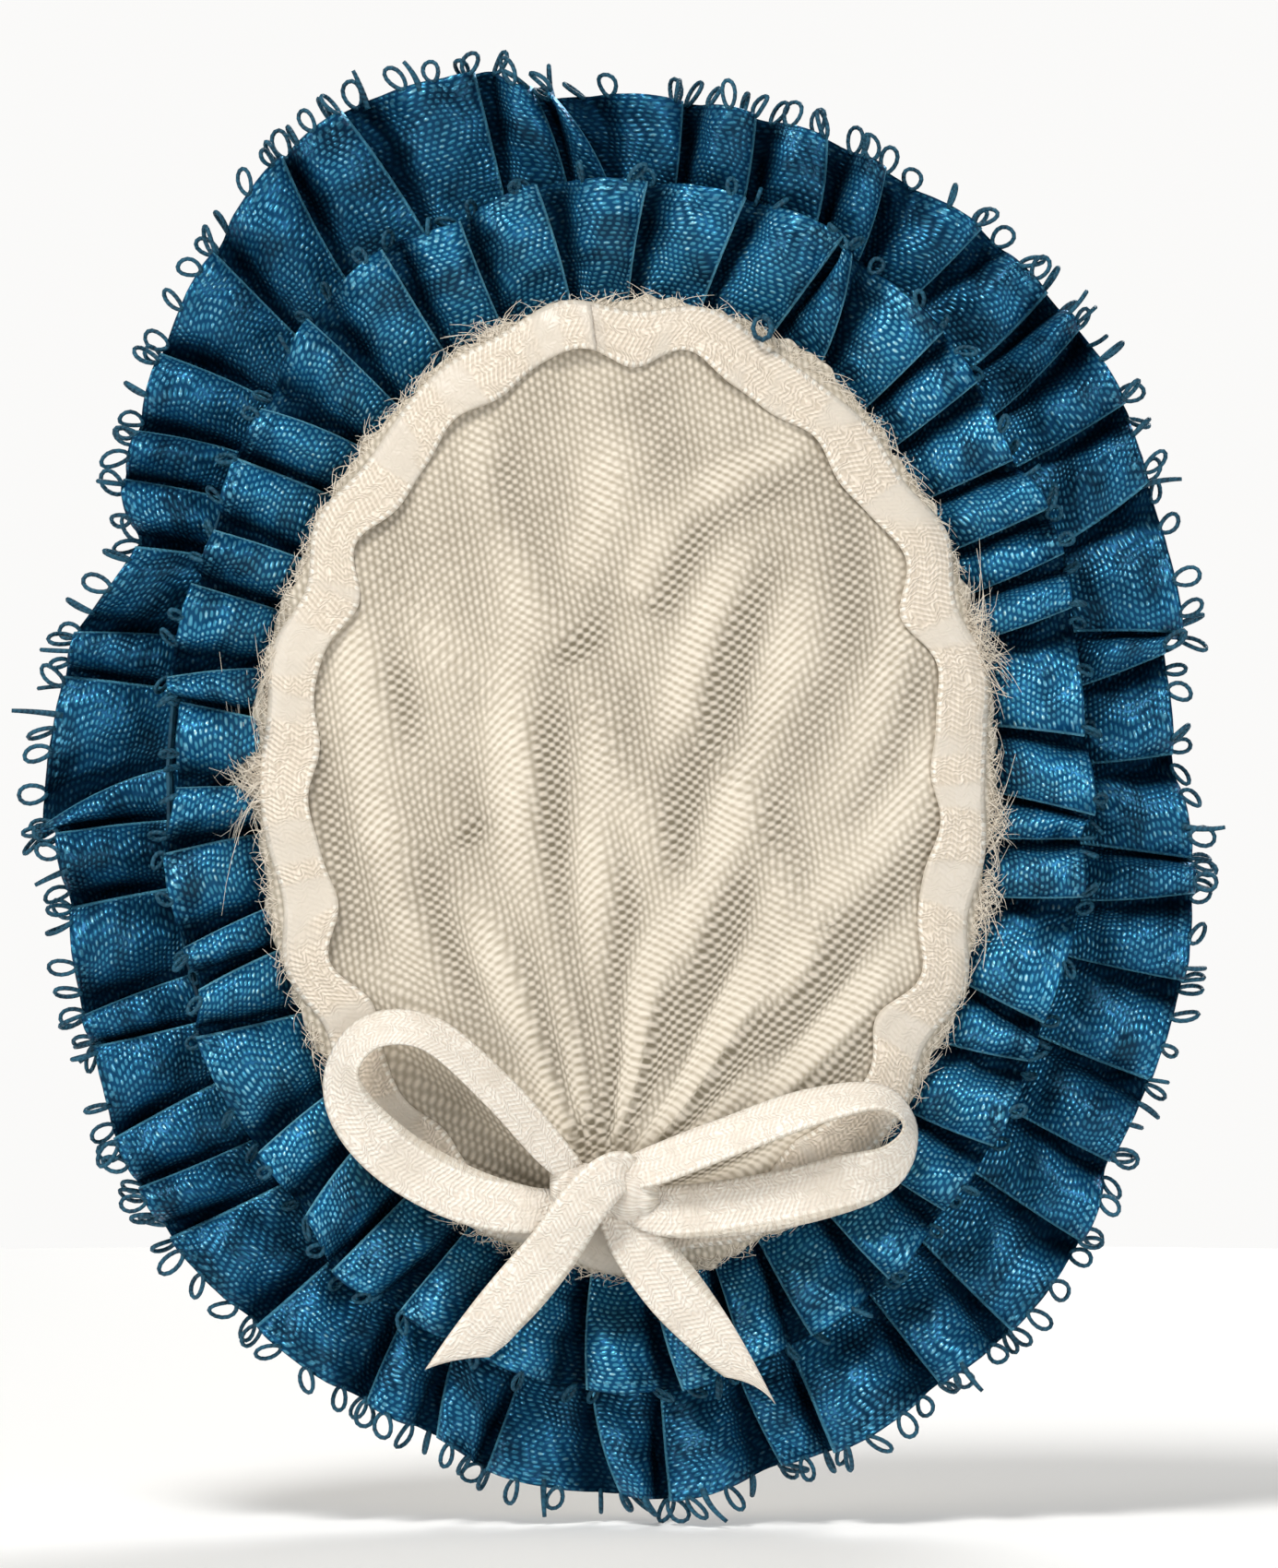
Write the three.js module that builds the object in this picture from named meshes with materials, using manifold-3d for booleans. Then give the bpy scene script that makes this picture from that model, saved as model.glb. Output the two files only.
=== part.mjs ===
// A hand-sewn oval award rosette: two tiers of knife-pleated picot ribbon behind a padded
// silk oval, which has a narrow ribbon trim and a tied bow, with a felt back and a hinged bar pin.
//
// Millimetres, +Z up, worn upright. The front faces -Y. The origin is the middle of the felt
// back's rear face, which lies against the garment. "Depth" is the distance in front of that face.

import * as THREE from "three";
import { mergeVertices } from "three/addons/utils/BufferGeometryUtils.js";
import Module from "manifold-3d";

const wasm = await Module();
wasm.setup();

// ---------------------------------------------------------------- driving dimensions

// The silk oval in the middle, and how far its middle sits right of and above the origin.
const CENTRE_SEMI_X = 23.2;
const CENTRE_SEMI_Z = 30.7;
const CENTRE_SHIFT_X = 0.4;
const CENTRE_SHIFT_Z = 0.2;

// How far each pleated tier shows beyond what lies in front of it, to the ribbon's woven edge.
const FRONT_SHOWS_X = 5.7;
const FRONT_SHOWS_Z = 7.4;
const REAR_SHOWS_X = 7.9;
const REAR_SHOWS_Z = 7.2;

// The picot-edged ribbon that both tiers are pleated from.
const RIBBON_WIDTH = 8.9;
const PICOT_LENGTH = 1.6;
const PRESSED_HEIGHT = 0.8; // a sewn-down stack of three layers
const FRONT_CREST = 3.0; // the height of the open pleats at the outer edge
const REAR_CREST = 3.0;
const FRONT_PLEATS = 43;
const REAR_PLEATS = 48;
const FOLD_AT = 0.92; // where in a pleat's pitch its crest stands
const VALLEY_SHARE = 0.5; // a valley's height as a share of the crest's

// Sheet thicknesses, and the gap between pieces that rest on each other.
const FELT_THICKNESS = 1.2;
const CARD_THICKNESS = 0.9;
const SILK_THICKNESS = 0.4;
const NARROW_THICKNESS = 0.35;
const GAP = 0.1;

const BASE_REACH = 3.6; // how far the base card reaches under the rear ribbon
const FELT_MARGIN = 0.7; // how far the felt reaches past the base card
const MIDDLE_FACE = 0.4; // share of a flat oval's face that is left clear as its middle
const SILK_OVERHANG = 0.8; // how far the silk's raw edge reaches past its card
const PAD_MARGIN = 0.6; // how far the padding stops short of the card's edge
const PAD_EDGE = 0.3;
const PAD_RISE = 1.9;

// Thread.
const THREAD_RADIUS = 0.2;
const STITCH_LINE = 0.07; // the tacking line, as a share of the ribbon's width from its inner edge
const WHIP_STITCHES = 36;
const WHIP_BITE = 1.6; // how far a whip stitch reaches in from the felt's edge

// The narrow ribbon: the trim that covers the silk's edge, and the bow.
const NARROW_WIDTH = 3.0;
const TRIM_INSET = 1.9; // from the silk's edge to the middle of the trim
const TRIM_WAVES = 17;
const TRIM_WAVE = 0.35; // how far the trim wanders each side of its line

const KNOT_X = -1.9; // the knot's middle, from the middle of the silk
const KNOT_UP = 5.4; // the knot's middle, above the silk's lowest point
const KNOT_WIDTH = 5.6;
const KNOT_HEIGHT = 4.4;
const KNOT_DEPTH = 2.2;
const BOW_CLEARANCE = 0.3; // between the knot and the loops and tails that leave it
const GATHERED_WIDTH = 1.1; // the ribbon's width where it is squeezed into the knot
const GATHER_REACH = 0.25; // share of a loop's length over which it opens out
const LOOP_FULLNESS = 0.8; // width of the slightly cupped ribbon in the loops, as a share of its own

const LEFT_TAIL_LENGTH = 12.2;
const RIGHT_TAIL_LENGTH = 13.8;
const LEFT_TAIL_ANGLE = 43; // degrees from straight down
const RIGHT_TAIL_ANGLE = 41;
const TAIL_SPLAY = 1.5; // how far each tail's root sits to the side of the knot's middle
const TAIL_LIFT_MARGIN = 0.5; // between the tails and the pleats behind them

// The bar pin.
const PIN_UP = 20; // the bar's height above the origin
const BAR_LENGTH = 31;
const BAR_WIDTH = 5;
const BAR_THICKNESS = 0.8;
const SEWING_HOLE_RADIUS = 0.8;
const SEWING_HOLE_X = 6.5;
const STEM_RADIUS = 0.4;
const GARMENT_GAP = 2.05; // between the bar and the closed stem
const STEM_POINT = 4.5; // length of the sharpened end
const STEM_PAST_CATCH = 1.6;
const HINGE_INSET = 2.2; // from the bar's end to the rivet
const RIVET_RADIUS = 0.5;
const RIVET_HEAD_RADIUS = 0.85;
const RIVET_HEAD_THICKNESS = 0.35;
const EYE_RADIUS = 1.15;
const EYE_LENGTH = 1.9;
const EYE_BORE_CLEARANCE = 0.12;
const LUG_THICKNESS = 0.6;
const LUG_CLEARANCE = 0.2; // between the eye and each lug
const LUG_RIM = 0.8; // metal around the rivet hole
const CATCH_INSET = 1.6; // from the bar's end to the catch
const CATCH_LENGTH = 3.2;
const CATCH_RADIUS = 2.1;
const CATCH_WALL = 0.6;
const CATCH_OPEN_HALF = 60; // degrees each side of the way the stem swings out
const SLEEVE_CLEARANCE = 0.1;
const SLEEVE_BORE = 0.6;
const SLEEVE_SLOT = 1.1;
const SLEEVE_END_CLEARANCE = 0.2;
const LEVER_ANGLE = 42; // where the sleeve's lever stands when the catch is open
const LEVER_REACH = 3.1;
const LEVER_THICKNESS = 0.45;
const LASHING_RADIUS = 0.3;

// ---------------------------------------------------------------- places worked out from them

const front = {
  outerX: CENTRE_SEMI_X + FRONT_SHOWS_X,
  outerZ: CENTRE_SEMI_Z + FRONT_SHOWS_Z,
};
front.innerX = front.outerX - RIBBON_WIDTH;
front.innerZ = front.outerZ - RIBBON_WIDTH;

const rear = {
  outerX: front.outerX + REAR_SHOWS_X,
  outerZ: front.outerZ + REAR_SHOWS_Z,
};
rear.innerX = rear.outerX - RIBBON_WIDTH;
rear.innerZ = rear.outerZ - RIBBON_WIDTH;

const baseCard = { semiX: rear.innerX + BASE_REACH, semiZ: rear.innerZ + BASE_REACH };
const felt = { semiX: baseCard.semiX + FELT_MARGIN, semiZ: baseCard.semiZ + FELT_MARGIN };
const centreCard = { semiX: CENTRE_SEMI_X - SILK_OVERHANG, semiZ: CENTRE_SEMI_Z - SILK_OVERHANG };
const pad = { semiX: centreCard.semiX - PAD_MARGIN, semiZ: centreCard.semiZ - PAD_MARGIN };
const trim = { semiX: CENTRE_SEMI_X - TRIM_INSET, semiZ: CENTRE_SEMI_Z - TRIM_INSET };

// Depths, from the garment forwards.
const baseBack = FELT_THICKNESS + GAP;
const baseFront = baseBack + CARD_THICKNESS;
const ribbonBack = baseFront + GAP;
const threadDiameter = 2 * THREAD_RADIUS;

// The front tier leaves the base card past the silk's edge, and is up and over the rear tier
// before it reaches that tier's inner edge, on whichever side they come closest.
const tierLift = PRESSED_HEIGHT + GAP + threadDiameter + GAP;
const liftFrom = Math.min(
  (CENTRE_SEMI_X - front.innerX) / RIBBON_WIDTH,
  (CENTRE_SEMI_Z - front.innerZ) / RIBBON_WIDTH,
);
const liftDone = Math.min(
  (rear.innerX - CENTRE_SHIFT_X - front.innerX) / RIBBON_WIDTH,
  (rear.innerZ - CENTRE_SHIFT_Z - front.innerZ) / RIBBON_WIDTH,
);

// The front tier holds the rear one down as far as its picots reach.
const rearPressedTo = Math.max(
  (front.outerX + PICOT_LENGTH + CENTRE_SHIFT_X - rear.innerX) / RIBBON_WIDTH,
  (front.outerZ + PICOT_LENGTH + CENTRE_SHIFT_Z - rear.innerZ) / RIBBON_WIDTH,
);

const frontBackAt = (v) => ribbonBack + tierLift * THREE.MathUtils.smoothstep(v, liftFrom, liftDone);
const rearBackAt = () => ribbonBack;
const openHeight = (v, pressedTo, crest) =>
  PRESSED_HEIGHT + (crest - PRESSED_HEIGHT) * THREE.MathUtils.smoothstep(v, pressedTo, 1);
const frontHeightAt = (v) => openHeight(v, liftFrom, FRONT_CREST);
const rearHeightAt = (v) => openHeight(v, rearPressedTo, REAR_CREST);
const frontCrestAt = (v) => frontBackAt(v) + frontHeightAt(v);

// The front tier's highest point under an oval that is concentric with it.
const crestUnder = (semiX, semiZ) =>
  frontCrestAt(
    Math.max((semiX - front.innerX) / RIBBON_WIDTH, (semiZ - front.innerZ) / RIBBON_WIDTH),
  );

const frontThreadTop = ribbonBack + PRESSED_HEIGHT + GAP + threadDiameter;
const cardBack = Math.max(frontThreadTop, crestUnder(centreCard.semiX, centreCard.semiZ)) + GAP;
const cardFront = cardBack + CARD_THICKNESS;
const padBack = cardFront + GAP;
const silkEdge = Math.max(
  padBack + PAD_EDGE + GAP,
  crestUnder(CENTRE_SEMI_X, CENTRE_SEMI_Z) + GAP,
);

// The silk's front face over a point given from the silk's own middle.
const domeShare = (x, z, semiX, semiZ) =>
  Math.max(0, 1 - (x / semiX) ** 2 - (z / semiZ) ** 2);
const silkFrontAt = (x, z) =>
  silkEdge + SILK_THICKNESS + PAD_RISE * domeShare(x, z, CENTRE_SEMI_X, CENTRE_SEMI_Z);

const knot = { x: KNOT_X, z: KNOT_UP - CENTRE_SEMI_Z };
const trimFrontAtKnot = silkFrontAt(knot.x, knot.z + KNOT_HEIGHT / 2) + GAP + NARROW_THICKNESS;
const bowBack = Math.max(trimFrontAtKnot + GAP, frontCrestAt(1) + TAIL_LIFT_MARGIN);

const barBackY = GAP;
const barRearY = barBackY + BAR_THICKNESS;
const stemY = barRearY + GARMENT_GAP + STEM_RADIUS;
const hingeX = HINGE_INSET - BAR_LENGTH / 2;
const catchEndX = BAR_LENGTH / 2 - CATCH_INSET;
const catchStartX = catchEndX - CATCH_LENGTH;

// ---------------------------------------------------------------- materials

const cloth = (color, roughness) =>
  new THREE.MeshStandardMaterial({ color, roughness, metalness: 0 });
const blueSatin = cloth(0x14567f, 0.4);
const ivorySilk = cloth(0xd8cbb4, 0.6);
const ivorySatin = cloth(0xe3d6c6, 0.5);
const ivoryFelt = cloth(0xd9cfbd, 0.95);
const blueThread = cloth(0x123f5f, 0.7);
const ivoryThread = cloth(0xe6dccb, 0.7);
const greyCard = cloth(0xb9b09d, 0.9);
const wadding = cloth(0xefece4, 1.0);
const nickel = new THREE.MeshStandardMaterial({ color: 0xb9bbbd, roughness: 0.3, metalness: 1 });

// ---------------------------------------------------------------- shape helpers

const rosette = new THREE.Group();
const silkGroup = new THREE.Group(); // everything that is centred on the silk oval
silkGroup.position.set(CENTRE_SHIFT_X, 0, CENTRE_SHIFT_Z);
const pinGroup = new THREE.Group();
pinGroup.position.set(0, 0, PIN_UP);
rosette.add(silkGroup, pinGroup);

function add(group, name, geometry, material) {
  const mesh = new THREE.Mesh(geometry, material);
  mesh.name = name;
  group.add(mesh);
}

function toSolid(geometry) {
  const bare = geometry.clone();
  for (const key of Object.keys(bare.attributes)) {
    if (key !== "position") bare.deleteAttribute(key);
  }
  const merged = mergeVertices(bare, 1e-4);
  return new wasm.Manifold(
    new wasm.Mesh({
      numProp: 3,
      vertProperties: new Float32Array(merged.attributes.position.array),
      triVerts: new Uint32Array(merged.index.array),
    }),
  );
}

function toGeometry(solid) {
  const mesh = solid.getMesh();
  const geometry = new THREE.BufferGeometry();
  geometry.setAttribute("position", new THREE.BufferAttribute(mesh.vertProperties, 3));
  geometry.setIndex(new THREE.BufferAttribute(mesh.triVerts, 1));
  geometry.computeVertexNormals();
  return geometry;
}

const joined = (...geometries) =>
  toGeometry(geometries.map(toSolid).reduce((sum, next) => sum.add(next)));

// An oval plate or dome. Its outline is turned about the depth axis and stretched to the oval.
// Each outline point is (share of the semi-axes, depth).
function ovalPlate({ semiX, semiZ }, outline, segments = 48) {
  const points = outline.map(([share, depth]) => new THREE.Vector2(share, -depth));
  return new THREE.LatheGeometry(points, segments).scale(semiX, 1, semiZ);
}

function flatOval(size, back, thickness) {
  return ovalPlate(size, [
    [0, back + thickness],
    [1, back + thickness],
    [1, back],
    [MIDDLE_FACE, back],
    [0, back],
  ]);
}

// The oval's edge, clockwise from its top as it is seen from the front.
function ovalEdge({ semiX, semiZ }) {
  const edge = new THREE.EllipseCurve(0, 0, semiX, semiZ, Math.PI / 2, -1.5 * Math.PI, true);
  edge.arcLengthDivisions = 720;
  return edge;
}

// A ring carried round an oval at even steps along its edge. The section is a closed outline of
// (across, layer) points. place(turn, across, layer) gives how far outwards from the oval and how
// deep each one stands, and turnAt spaces the stations.
function ovalRing(size, stations, section, place, turnAt = (k) => k / stations) {
  const oval = ovalEdge(size);
  const closed = [...section, section[0]].map(([x, y]) => new THREE.Vector2(x + 2, y));
  const ring = new THREE.LatheGeometry(closed, stations);
  const position = ring.attributes.position;
  for (let k = 0; k <= stations; k++) {
    const turn = turnAt(k % stations);
    const on = oval.getPointAt(turn);
    const along = oval.getTangentAt(turn);
    closed.forEach((_, j) => {
      const [across, layer] = section[j % section.length];
      const { outwards, depth } = place(turn, across, layer);
      position.setXYZ(
        k * closed.length + j,
        on.x - along.y * outwards,
        -depth,
        on.y + along.x * outwards,
      );
    });
  }
  return ring;
}

// A thread along a curve, with a five-sided section.
function threadAlong(curve, radius, steps) {
  const sides = 5;
  const section = new THREE.Shape(
    Array.from({ length: sides }, (_, k) => {
      const angle = (2 * Math.PI * k) / sides;
      return new THREE.Vector2(radius * Math.cos(angle), radius * Math.sin(angle));
    }),
  );
  return new THREE.ExtrudeGeometry(section, { steps, extrudePath: curve });
}

// A flat ribbon along a curve. across(t) is the way its width points, and widthAt(t) the width.
function strap(curve, across, widthAt, thickness, steps) {
  const strip = new THREE.BoxGeometry(1, 1, 1, 1, 1, steps);
  const position = strip.attributes.position;
  for (let i = 0; i < position.count; i++) {
    const t = position.getZ(i) + 0.5;
    const tangent = curve.getTangent(t);
    const wide = across(t).projectOnPlane(tangent).normalize();
    const thick = new THREE.Vector3().crossVectors(tangent, wide);
    const spot = curve
      .getPoint(t)
      .addScaledVector(wide, widthAt(t) * position.getX(i))
      .addScaledVector(thick, thickness * position.getY(i));
    position.setXYZ(i, spot.x, spot.y, spot.z);
  }
  return strip;
}

// ---------------------------------------------------------------- back, base and pleated tiers

function addBack() {
  add(rosette, "felt_back", flatOval(felt, 0, FELT_THICKNESS), ivoryFelt);
  add(rosette, "base_card", flatOval(baseCard, baseBack, CARD_THICKNESS), greyCard);
}

// The thread that whips the felt's edge: a slanting stitch on the rear face, then down over the rim
// and back up. Its two ends are left apart.
function addWhipStitching() {
  const clear = THREAD_RADIUS + GAP;
  const overRim = [
    [-WHIP_BITE, clear, 0],
    [clear, clear, 0.3],
    [clear, clear - FELT_THICKNESS, 0.4],
    [clear, clear - FELT_THICKNESS, 0.6],
    [clear, clear, 0.7],
  ];
  const points = [];
  for (let k = 0; k < WHIP_STITCHES; k++) {
    for (const [outwards, y, share] of overRim) {
      const angle = (2 * Math.PI * (k + share)) / WHIP_STITCHES;
      const x = (felt.semiX + outwards) * Math.sin(angle);
      const z = (felt.semiZ + outwards) * Math.cos(angle);
      points.push(new THREE.Vector3(x, y, z));
    }
  }
  const spans = points.length - 1;
  const path = new THREE.Curve();
  path.getPoint = (t) => {
    const at = THREE.MathUtils.clamp(t, 0, 1) * spans;
    const k = Math.min(Math.floor(at), spans - 1);
    return new THREE.Vector3().lerpVectors(points[k], points[k + 1], at - k);
  };
  path.getPointAt = path.getPoint; // one step of the thread for each span
  path.getSpacedPoints = () => points;
  add(rosette, "felt_whip_stitching", threadAlong(path, THREAD_RADIUS, spans), ivoryThread);
}

// Knife pleats as a saw-toothed ring: each pleat rises clockwise from its valley to its fold, and
// the picot loops count in its width. The breaks are the shares of its width where it bends.
function pleatedTier(tier, pleats, breaks, backAt, heightAt) {
  const isFold = (turn) => turn * pleats - Math.floor(turn * pleats + 1e-6) > FOLD_AT / 2;
  const edge = 1 + PICOT_LENGTH / RIBBON_WIDTH;
  const section = [
    ...[0, ...breaks, 1].map((v) => [v, 1]),
    [edge, 0.75],
    [edge, 0.55],
    ...[1, ...breaks.toReversed(), 0].map((v) => [v, 0]),
  ];
  return ovalRing(
    { semiX: tier.innerX, semiZ: tier.innerZ },
    2 * pleats,
    section,
    (turn, v, layer) => {
      const width = Math.min(v, 1);
      const height = heightAt(width) * (isFold(turn) || v > 1 ? 1 : VALLEY_SHARE);
      return { outwards: v * RIBBON_WIDTH, depth: backAt(width) + layer * height };
    },
    (k) => (Math.floor(k / 2) + (k % 2) * FOLD_AT) / pleats,
  );
}

function tackingThread(tier, depth) {
  const outwards = STITCH_LINE * RIBBON_WIDTH;
  const steps = 48;
  const points = Array.from({ length: steps + 1 }, (_, k) => {
    const angle = (2 * Math.PI * 0.98 * k) / steps;
    return new THREE.Vector3(
      (tier.innerX + outwards) * Math.sin(angle),
      -depth,
      (tier.innerZ + outwards) * Math.cos(angle),
    );
  });
  return threadAlong(new THREE.CatmullRomCurve3(points), THREAD_RADIUS, steps);
}

function addTiers() {
  const threadDepth = ribbonBack + PRESSED_HEIGHT + GAP + THREAD_RADIUS;
  const frontBreaks = [liftFrom, (liftFrom + liftDone) / 2, liftDone];
  const rearBreaks = [rearPressedTo, (rearPressedTo + 1) / 2];
  const frontTier = pleatedTier(front, FRONT_PLEATS, frontBreaks, frontBackAt, frontHeightAt);
  const rearTier = pleatedTier(rear, REAR_PLEATS, rearBreaks, rearBackAt, rearHeightAt);
  add(rosette, "rear_ruffle_ribbon", rearTier, blueSatin);
  add(rosette, "rear_ruffle_thread", tackingThread(rear, threadDepth), blueThread);
  add(silkGroup, "front_ruffle_ribbon", frontTier, blueSatin);
  add(silkGroup, "front_ruffle_thread", tackingThread(front, threadDepth), blueThread);
}

// ---------------------------------------------------------------- padded silk centre and its trim

// A sheet over a dome: its edge stands at edgeDepth, and its middle PAD_RISE further forwards.
function domeOutline(edgeDepth, rings = 6) {
  return Array.from({ length: rings + 1 }, (_, k) => {
    const share = k / rings;
    return [share, edgeDepth + PAD_RISE * (1 - share ** 2)];
  });
}

function addCentre() {
  add(silkGroup, "centre_card", flatOval(centreCard, cardBack, CARD_THICKNESS), greyCard);
  const padOutline = [...domeOutline(padBack + PAD_EDGE), [1, padBack], [0, padBack]];
  add(silkGroup, "centre_padding", ovalPlate(pad, padOutline), wadding);
  const silkOval = { semiX: CENTRE_SEMI_X, semiZ: CENTRE_SEMI_Z };
  const silkOutline = [
    ...domeOutline(silkEdge + SILK_THICKNESS),
    ...domeOutline(silkEdge).reverse(),
  ];
  add(silkGroup, "silk_cover", ovalPlate(silkOval, silkOutline), ivorySilk);
}

function addTrim() {
  const half = NARROW_WIDTH / 2;
  const stations = 5 * TRIM_WAVES;
  const oval = ovalEdge(trim);
  const section = [
    [-half, 0],
    [-half, NARROW_THICKNESS],
    [half, NARROW_THICKNESS],
    [half, 0],
  ];
  const place = (turn, across, layer) => {
    const outwards = across + TRIM_WAVE * Math.sin(2 * Math.PI * TRIM_WAVES * turn);
    const on = oval.getPointAt(turn);
    const along = oval.getTangentAt(turn);
    const x = on.x - along.y * outwards;
    const z = on.y + along.x * outwards;
    return { outwards, depth: silkFrontAt(x, z) + GAP + layer };
  };
  add(silkGroup, "trim_ribbon", ovalRing(trim, stations, section, place), ivorySatin);
}

// ---------------------------------------------------------------- bow

// Each loop is a list of stations from the knot out and back: how far sideways, up and in front
// of the knot's back the ribbon's middle runs, and the way its width points there. The first and
// last stations start from the knot's side.
const LEFT_LOOP = [
  [0.0, 0.9, 0.7, [-0.6, 0.2, 0.8]],
  [3.0, 3.9, 1.2, [-0.6, 0.3, 0.8]],
  [7.4, 8.6, 1.7, [-0.6, 0.4, 0.7]],
  [11.0, 10.6, 1.7, [-0.3, 0.5, 0.9]],
  [13.2, 8.8, 1.6, [-1.0, 0.5, 0.2]],
  [12.4, 5.0, 1.5, [-0.9, 0.4, -0.5]],
  [8.6, 1.4, 1.4, [-0.5, 0.3, -0.9]],
  [4.0, -0.4, 1.2, [-0.3, 0.2, -0.9]],
  [0.0, -0.9, 0.9, [-0.1, 0.1, -1.0]],
];
const RIGHT_LOOP = [
  [0.0, 1.2, 0.7, [-0.5, 0.2, 0.9]],
  [4.0, 3.0, 1.0, [-0.4, 0.3, 0.9]],
  [9.0, 5.2, 1.3, [-0.4, 0.4, 0.9]],
  [13.0, 6.3, 1.6, [-0.1, 0.9, 0.5]],
  [15.3, 4.8, 1.9, [0.5, 0.9, -0.1]],
  [14.2, 2.4, 1.8, [0.5, 0.5, -0.8]],
  [9.6, 0.4, 1.7, [0.3, 0.2, -1.0]],
  [4.6, -0.5, 1.5, [0.2, 0.1, -1.0]],
  [0.0, -0.9, 1.0, [0.1, 0.1, -1.0]],
];

function loopStrap(stations, side) {
  const startX = knot.x + side * (KNOT_WIDTH / 2 + BOW_CLEARANCE);
  const centreline = new THREE.CatmullRomCurve3(
    stations.map(([out, up, forward]) =>
      new THREE.Vector3(startX + side * out, -(bowBack + forward), knot.z + up),
    ),
  );
  const ways = new THREE.CatmullRomCurve3(
    stations.map(([, , , [x, y, z]]) => new THREE.Vector3(side < 0 ? x : -x, y, z)),
  );
  const across = (t) => ways.getPoint(t);
  const gathered = GATHERED_WIDTH / NARROW_WIDTH;
  const fullness = (t) => THREE.MathUtils.smoothstep(Math.min(t, 1 - t), 0, GATHER_REACH);
  const widthAt = (t) => NARROW_WIDTH * THREE.MathUtils.lerp(gathered, LOOP_FULLNESS, fullness(t));
  return strap(centreline, across, widthAt, NARROW_THICKNESS, 28);
}

// A tail hangs straight from the knot, flat against the pleats, and its end is cut on a slant.
function tailSolid(length, angle, side) {
  const half = NARROW_WIDTH / 2;
  const slant = NARROW_WIDTH * 1.1;
  const outline = new THREE.Shape([
    new THREE.Vector2(-half, 0),
    new THREE.Vector2(half, 0),
    new THREE.Vector2(half, -length + (side < 0 ? slant : 0)),
    new THREE.Vector2(-half, -length + (side < 0 ? 0 : slant)),
  ]);
  const tail = new THREE.ExtrudeGeometry(outline, { depth: NARROW_THICKNESS, bevelEnabled: false });
  tail.rotateX(Math.PI / 2);
  tail.rotateY(THREE.MathUtils.degToRad(-side * angle));
  const rootZ = knot.z - KNOT_HEIGHT / 2 - BOW_CLEARANCE;
  return tail.translate(knot.x + side * TAIL_SPLAY, -bowBack, rootZ);
}

function addBow() {
  const knotSolid = new THREE.SphereGeometry(0.5, 16, 10);
  knotSolid.scale(KNOT_WIDTH, KNOT_DEPTH, KNOT_HEIGHT);
  knotSolid.translate(knot.x, -bowBack - KNOT_DEPTH / 2, knot.z);
  add(silkGroup, "bow_knot", knotSolid, ivorySatin);
  add(silkGroup, "bow_left_loop", loopStrap(LEFT_LOOP, -1), ivorySatin);
  add(silkGroup, "bow_right_loop", loopStrap(RIGHT_LOOP, 1), ivorySatin);
  add(silkGroup, "bow_left_tail", tailSolid(LEFT_TAIL_LENGTH, LEFT_TAIL_ANGLE, -1), ivorySatin);
  add(silkGroup, "bow_right_tail", tailSolid(RIGHT_TAIL_LENGTH, RIGHT_TAIL_ANGLE, 1), ivorySatin);
}

// ---------------------------------------------------------------- bar pin

// The arc of a ring around +X, open by openHalf degrees each side of +Y.
function openRing(outer, inner, openHalf, startX, length) {
  const from = THREE.MathUtils.degToRad(90 + openHalf);
  const to = THREE.MathUtils.degToRad(450 - openHalf);
  const section = new THREE.Shape();
  section.absarc(0, 0, outer, from, to, false);
  section.absarc(0, 0, inner, to, from, true);
  const ring = new THREE.ExtrudeGeometry(section, {
    depth: length,
    bevelEnabled: false,
    curveSegments: 20,
  });
  return ring.rotateY(Math.PI / 2).translate(startX, stemY, 0);
}

function addPinBar() {
  const half = BAR_WIDTH / 2;
  const straight = BAR_LENGTH / 2 - half;
  const outline = new THREE.Shape();
  outline.absarc(straight, 0, half, -Math.PI / 2, Math.PI / 2, false);
  outline.absarc(-straight, 0, half, Math.PI / 2, 1.5 * Math.PI, false);
  for (const side of [-1, 1]) {
    const hole = new THREE.Path();
    hole.absarc(side * SEWING_HOLE_X, 0, SEWING_HOLE_RADIUS, 0, 2 * Math.PI, true);
    outline.holes.push(hole);
  }
  const plate = new THREE.ExtrudeGeometry(outline, {
    depth: BAR_THICKNESS,
    bevelEnabled: false,
    curveSegments: 8,
  });
  plate.rotateX(Math.PI / 2).translate(0, barRearY, 0);

  const rim = RIVET_RADIUS + EYE_BORE_CLEARANCE + LUG_RIM;
  const lugOutline = new THREE.Shape();
  lugOutline.moveTo(hingeX - rim, barRearY - BAR_THICKNESS / 2);
  lugOutline.lineTo(hingeX + rim, barRearY - BAR_THICKNESS / 2);
  lugOutline.absarc(hingeX, stemY, rim, 0, Math.PI, false);
  const rivetHole = new THREE.Path();
  rivetHole.absarc(hingeX, stemY, RIVET_RADIUS + EYE_BORE_CLEARANCE, 0, 2 * Math.PI, true);
  lugOutline.holes.push(rivetHole);
  const lugInner = EYE_LENGTH / 2 + LUG_CLEARANCE;
  const lugs = [-1, 1].map((side) => {
    const lug = new THREE.ExtrudeGeometry(lugOutline, {
      depth: LUG_THICKNESS,
      bevelEnabled: false,
      curveSegments: 10,
    });
    return lug.translate(0, 0, side > 0 ? lugInner : -lugInner - LUG_THICKNESS);
  });

  const housing = openRing(
    CATCH_RADIUS,
    CATCH_RADIUS - CATCH_WALL,
    CATCH_OPEN_HALF,
    catchStartX,
    CATCH_LENGTH,
  );
  const footTop = stemY - CATCH_RADIUS + CATCH_WALL / 2;
  const footBottom = barRearY - BAR_THICKNESS / 2;
  const foot = new THREE.BoxGeometry(CATCH_LENGTH, footTop - footBottom, CATCH_RADIUS);
  foot.translate(catchStartX + CATCH_LENGTH / 2, (footTop + footBottom) / 2, 0);
  add(pinGroup, "pin_bar", joined(plate, ...lugs, housing, foot), nickel);
}

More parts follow.
